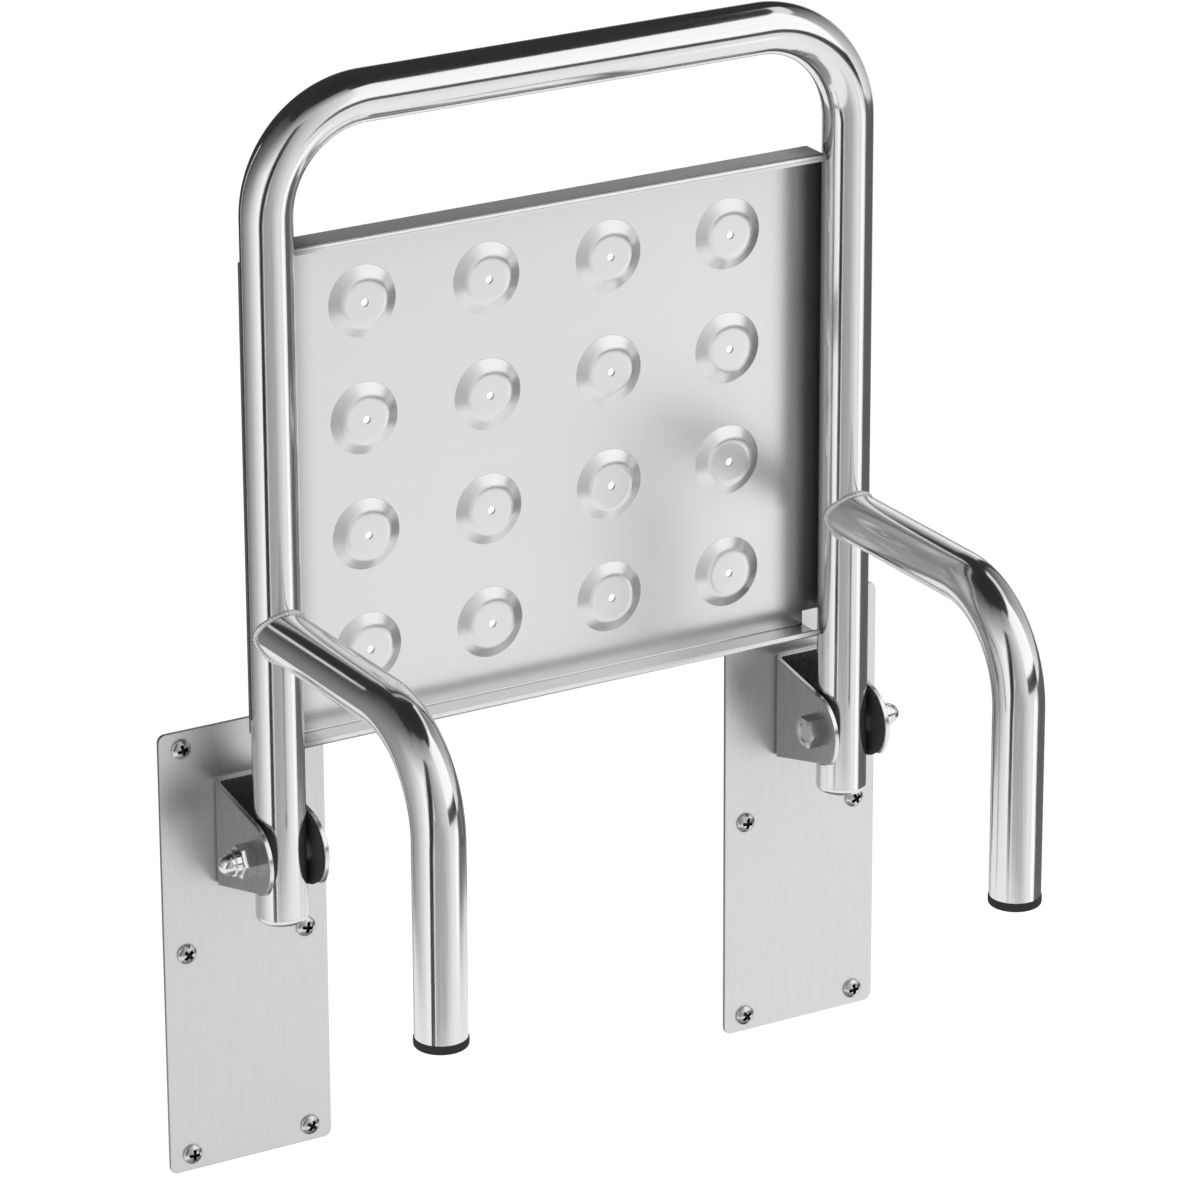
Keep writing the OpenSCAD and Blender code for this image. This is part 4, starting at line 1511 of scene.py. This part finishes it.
    def build_nut(self) -> None:
        """The cap nut: a chamfered hexagon, and a round collar and a dome turned about the pivot."""
        node = self.side.prefix + "dome_nut"
        low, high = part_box(node)
        axes = self.on_pivot(self.side.value, self.ear_out)
        skin = Skin(node + "_skin")
        seat_r, hex_top = self.collar_share * self.collar_r, self.nut_hex_h
        self.add_hex(skin, axes, hex_top, [(0.0, hex_top), (seat_r, hex_top)])
        collar_top = hex_top + self.collar_h
        centre = high.x - low.x - self.dome_r
        sunk = hex_top - self.collar_sink
        collar = soft_profile([
            (0.0, sunk, 0), (seat_r, sunk, 0), (self.collar_r, hex_top, 0),
            (self.collar_r, collar_top, self.collar_edge_r),
            (self.dome_r + self.dome_foot_w, collar_top, self.dome_foot_h),
            (self.dome_r, collar_top + self.dome_foot_h, 0), (self.dome_r, centre, 0)],
            steps=self.nut_edge_steps)
        dome = np.array([0.0, centre]) + self.dome_r * circle_points(
            np.linspace(0, math.pi / 2, self.dome_points))
        skin.rings(axes, np.concatenate([collar, dome[1:]]), full_turn(self.nut_sides))
        settle(skin.build(crease_deg=self.hex_crease_deg), NUT_STEEL, Body.WALL, "nut_steel", node)

    def build_washers(self) -> None:
        """The two nylon washers between tube and ears: a thin ring with softened edges."""
        node = self.side.prefix + "nylon_washers"
        low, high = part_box(node)
        radius = (high.z - low.z) / 2
        ear_in = self.ear_out - self.sheet
        thick = ear_in - (self.bush_x - self.axis_x)
        outline = soft_profile([
            (self.hole_r, 0, 0), (radius, 0, self.washer_edge_r), (radius, thick, self.washer_edge_r),
            (self.hole_r, thick, 0), (self.hole_r, 0, 0)], steps=self.washer_edge_steps)
        skin = Skin(node + "_skin")
        for way in (-1, 1):
            skin.rings(self.on_pivot(way, ear_in - thick), outline, full_turn(self.washer_sides))
        settle(skin.build(), BLACK_NYLON, Body.WALL, "nylon", node)

    def dress_hidden(self) -> None:
        """Gives the pieces that stay as packed their finish: the bush in the leg and the ring in the nut."""
        hidden = (("pivot_bush", BUSH_STEEL, "bush_steel"), ("nut_insert", BLACK_NYLON, "nylon"))
        for node, finish, slot in hidden:
            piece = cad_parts[self.side.prefix + node]
            piece.data.materials.clear()
            piece.data.materials.append(finish.material())
            log.info("%s: as packed, %s", piece.name, finish.name)


@dataclass(frozen=True)
class Card:
    """A studio card that only reflections show: a four-sided part of a ball about the object.

    Azimuths are in degrees from the camera's side towards +X, elevations in degrees from the horizon. Greys
    are the card's brightness at its lower left, lower right, upper left and upper right.
    """

    name: str
    low_azimuths: tuple[float, float]
    high_azimuths: tuple[float, float]
    elevations: tuple[float, float]
    greys: tuple[float, float, float, float]
    distance: float = 2.4


@dataclass(frozen=True)
class SoftBox:
    """A large soft lamp: where it stands, in degrees from the camera's side, its size and its brightness."""

    name: str
    azimuth: float
    elevation: float
    distance: float
    width: float
    height: float
    radiance: float


@dataclass
class Studio:
    """Floor, white surroundings, soft lamps and the cards that the steel mirrors."""

    camera_azimuth: float
    centre: tuple[float, float, float] = (0.0, -0.1, 0.2)
    floor_z: float = -0.9
    floor_half: float = 14.0
    floor_points: int = 9
    floor_grey: float = 0.6
    floor_glow: float = 0.60
    ambient: float = 0.70
    card_columns: int = 33
    card_rows: int = 17
    lamps: tuple[SoftBox, ...] = (
        SoftBox("left_soft_box", -60.0, 35.0, 2.6, 1.6, 1.6, 1.8),
        SoftBox("right_soft_box", 65.0, 40.0, 2.6, 1.6, 1.6, 1.8),
    )
    cards: tuple[Card, ...] = (
        Card("left_far", (-139, -88), (-114, -76), (-50, 24), (0.28, 0.84, 0.03, 0.28), 2.5),
        Card("left_near", (-88, -36), (-76, -26), (-50, 24), (0.84, 1.40, 0.28, 1.40), 2.5),
        Card("left_far_top", (-118, -76), (-118, -60), (24, 60), (0.02, 0.28, 0.02, 0.10), 2.5),
        Card("left_near_top", (-76, -19), (-60, -8), (24, 60), (0.28, 1.30, 0.06, 0.10), 2.5),
        Card("front_grey", (-26, 22), (-10, 18), (-50, 0), (0.48, 0.50, 0.44, 0.55), 2.46),
        Card("front_fade", (22, 54), (18, 46), (-50, -3), (0.50, 1.0, 0.55, 1.0), 2.46),
        Card("front_high", (-6, 46), (2, 46), (-3, 57), (0.36, 1.0, 0.45, 1.0), 2.46),
        Card("dark_strip", (-47, -33), (-21, -5), (-50, 16), (0.04, 0.04, 0.03, 0.03), 2.4),
        Card("dark_strip_top", (-21, -5), (-9, 5), (16, 48), (0.03, 0.03, 0.10, 0.12), 2.4),
        Card("bridge", (-34, 46), (-34, 46), (45, 66), (0.52, 0.90, 0.05, 0.30), 2.33),
        Card("horizon_line", (46, 92), (46, 94), (-3, 9), (0.12, 0.03, 0.12, 0.03), 2.38),
        Card("right_box", (44, 94), (50, 108), (8, 57), (1.36, 1.40, 1.2, 1.40), 2.44),
        Card("right_glint", (68, 84), (68, 82), (-50, -8), (1.40, 1.40, 1.40, 1.40), 2.42),
        Card("right_dark", (88, 152), (88, 152), (-50, -4), (0.14, 0.20, 0.16, 0.12), 2.4),
        Card("right_back", (94, 152), (106, 150), (-4, 46), (1.20, 0.50, 0.35, 0.04), 2.43),
        Card("rear_dark", (155, 221), (150, 246), (-50, 40), (0.08, 0.05, 0.04, 0.04), 2.36),
        Card("rear_dark_top", (150, 246), (146, 276), (40, 60), (0.04, 0.04, 0.04, 0.04), 2.36),
        Card("rear_low", (148, 206), (148, 206), (-8, 14), (0.10, 0.10, 1.2, 1.0), 0.8),
        Card("rear_high", (148, 206), (148, 206), (14, 34), (1.2, 1.0, 0.20, 0.10), 0.8),
        Card("overhead", (-180, 180), (-180, 180), (57, 90), (0.04, 0.04, 0.03, 0.03), 2.34),
        # front_below and rear_below are darker sheets under the seat that stand in for its shadow on the
        # floor in reflections: painted shade.
        Card("front_below", (-110, 110), (-110, 110), (-90, -58), (0.30, 0.30, 0.42, 0.42), 0.95),
        Card("rear_below", (110, 250), (110, 250), (-90, -58), (0.20, 0.20, 0.08, 0.08), 0.95),
    )

    def direction(self, azimuth: float | np.ndarray, elevation: float | np.ndarray) -> np.ndarray:
        """Unit vectors from the centre: (sin a cos e, -cos a cos e, sin e).

        Args:
            azimuth: Degrees from the camera's side towards +X.
            elevation: Degrees from the horizon.

        Returns:
            The vectors, with x, y and z on a last axis.
        """
        a = np.radians(np.asarray(azimuth) + self.camera_azimuth)
        e = np.radians(elevation)
        return stacked(np.sin(a) * np.cos(e), -np.cos(a) * np.cos(e), np.sin(e))

    def bare_material(self, name: str) -> tuple[bpy.types.Material, Wiring]:
        """A new material without its shader.

        Args:
            name: Name of the material.

        Returns:
            The material and the wiring of its tree.
        """
        material = bpy.data.materials.new(name)
        material.use_nodes = True
        material.node_tree.nodes.remove(material.node_tree.nodes["Principled BSDF"])
        return material, Wiring(material.node_tree)

    def dress(self, piece: bpy.types.Object, material: bpy.types.Material, shader: bpy.types.Node) -> None:
        """Links a shader to a material's output and gives the material to a piece.

        Args:
            piece: The piece.
            material: The material.
            shader: The last shader of the material's tree.
        """
        output = material.node_tree.nodes["Material Output"]
        material.node_tree.links.new(shader.outputs[0], output.inputs["Surface"])
        piece.data.materials.append(material)

    def seen_rays(self, wire: Wiring) -> bpy.types.NodeSocket:
        """Tells the rays that are seen from the rays that light the object.

        Args:
            wire: The wiring of the tree that asks.

        Returns:
            1 on camera, glossy and transmission rays, and 0 on the others.
        """
        path = wire.add("LightPath").outputs
        seen = wire.math("ADD", wire.math("ADD", path["Is Camera Ray"], path["Is Glossy Ray"]),
                         path["Is Transmission Ray"])
        return wire.math("MINIMUM", seen, 1.0)

    def build_floor(self) -> None:
        """A pale floor: white to the camera and in reflections, and still darker where the seat shades it."""
        skin = Skin("floor")
        line = np.linspace(-self.floor_half, self.floor_half, self.floor_points)
        skin.grid(stacked(line[None, :], line[:, None], self.floor_z))
        floor = skin.build(facing=UP)
        material, wire = self.bare_material("pale_floor")
        diffuse = wire.add("BsdfDiffuse", Color=(self.floor_grey,) * 3 + (1.0,))
        glow = wire.add("Emission", Color=WHITE,
                        Strength=wire.math("MULTIPLY", self.seen_rays(wire), self.floor_glow))
        self.dress(floor, material, wire.add("AddShader", i0=diffuse.outputs[0], i1=glow.outputs[0]))

    def build_world(self) -> None:
        """White surroundings for what is seen, and a plain ambient level for what is lit."""
        world = bpy.data.worlds.new("studio")
        bpy.context.scene.world = world
        world.use_nodes = True
        wire = Wiring(world.node_tree)
        background = world.node_tree.nodes["Background"].inputs
        background["Color"].default_value = WHITE
        wire.tree.links.new(wire.between(self.seen_rays(wire), self.ambient, 1.0), background["Strength"])

    def build_lamps(self) -> None:
        """The soft lamps. A lamp's power is its radiance times pi times its area; cards show in its place."""
        for box in self.lamps:
            data = bpy.data.lights.new(box.name, "AREA")
            data.shape = "RECTANGLE"
            data.size, data.size_y = box.width, box.height
            data.energy = box.radiance * math.pi * box.width * box.height
            lamp = bpy.data.objects.new(box.name, data)
            bpy.context.scene.collection.objects.link(lamp)
            away = Vector(self.direction(box.azimuth, box.elevation).tolist())
            lamp.location = Vector(self.centre) + away * box.distance
            lamp.rotation_mode = "QUATERNION"
            lamp.rotation_quaternion = away.to_track_quat("Z", "Y")
            lamp.visible_camera = False
            lamp.visible_glossy = False

    def build_cards(self) -> None:
        """The cards, each a bilinear patch in azimuth and elevation whose grey is bilinear too."""
        across = np.linspace(0, 1, self.card_columns)[None, :]
        up = np.linspace(0, 1, self.card_rows)[:, None]
        for card in self.cards:
            spans = (card.low_azimuths, card.high_azimuths)
            low, high = (start + (end - start) * across for start, end in spans)
            elevation = card.elevations[0] + (card.elevations[1] - card.elevations[0]) * up
            away = self.direction(low + (high - low) * up, elevation)
            skin = Skin(card.name + "_card")
            skin.grid(np.array(self.centre) + card.distance * away, uv=stacked(across, up))
            piece = skin.build(facing=UP, weighted=False)
            material, wire = self.bare_material(card.name + "_card")
            place = wire.split(wire.on_surface()).outputs
            below, above = (wire.between(place["X"], *card.greys[part:part + 2]) for part in (0, 2))
            grey = wire.between(place["Y"], below, above)
            self.dress(piece, material, wire.add("Emission", Color=WHITE, Strength=grey))
            piece.visible_camera = False
            piece.visible_diffuse = False
            piece.visible_shadow = False
            piece.visible_transmission = False

    def build(self) -> None:
        """Builds the whole studio."""
        self.build_floor()
        self.build_world()
        self.build_lamps()
        self.build_cards()


@dataclass(frozen=True)
class PhotoCamera:
    """The camera at the photograph's viewing angle, its image taken as a square of 1200 pixels."""

    azimuth: float = -30.316
    elevation: float = 20.98
    roll: float = -0.223
    distance: float = 3.9465
    target: tuple[float, float, float] = (0.02425, -0.05, 0.19451)
    focal_pixels: float = 6441.1
    image_pixels: float = 1200.0
    sensor: float = 36.0
    clip: tuple[float, float] = (0.05, 60.0)

    def build(self) -> None:
        """Places the camera: from the target back along its azimuth and elevation, then rolled."""
        data = bpy.data.cameras.new("photo_camera")
        data.sensor_width = self.sensor
        data.lens = self.focal_pixels / self.image_pixels * self.sensor
        data.clip_start, data.clip_end = self.clip
        camera = bpy.data.objects.new("photo_camera", data)
        bpy.context.scene.collection.objects.link(camera)
        a, e = math.radians(self.azimuth), math.radians(self.elevation)
        back = Vector((math.sin(a) * math.cos(e), -math.cos(a) * math.cos(e), math.sin(e)))
        turn = back.to_track_quat("Z", "Y").to_matrix().to_4x4()
        roll = Matrix.Rotation(math.radians(self.roll), 4, "Z")
        camera.matrix_world = Matrix.Translation(Vector(self.target) + back * self.distance) @ turn @ roll
        bpy.context.scene.camera = camera


def main() -> None:
    """Builds the seat piece by piece, then the studio and the camera."""
    logging.basicConfig(level=logging.INFO, format="%(name)s: %(message)s")
    bpy.context.scene.view_settings.view_transform = "Standard"
    seat_frame = SeatFrame()
    seat_frame.build_tube()
    for side in Side:
        seat_frame.build_end_cap(side)
        arm = SupportArm(side, seat_frame)
        arm.build_arm()
        arm.build_weld()
        arm.build_foot()
    tray = SeatTray(seat_frame)
    tray.build_sheet()
    for side in Side:
        tray.build_welds(side)
        plate = WallPlate(side)
        plate.build_plate()
        plate.build_screws()
        hinge = Hinge(side)
        hinge.build_bracket()
        hinge.build_bolt()
        hinge.build_nut()
        hinge.build_washers()
        hinge.dress_hidden()
    camera = PhotoCamera()
    camera.build()
    Studio(camera.azimuth).build()


if __name__ == "__main__":
    main()
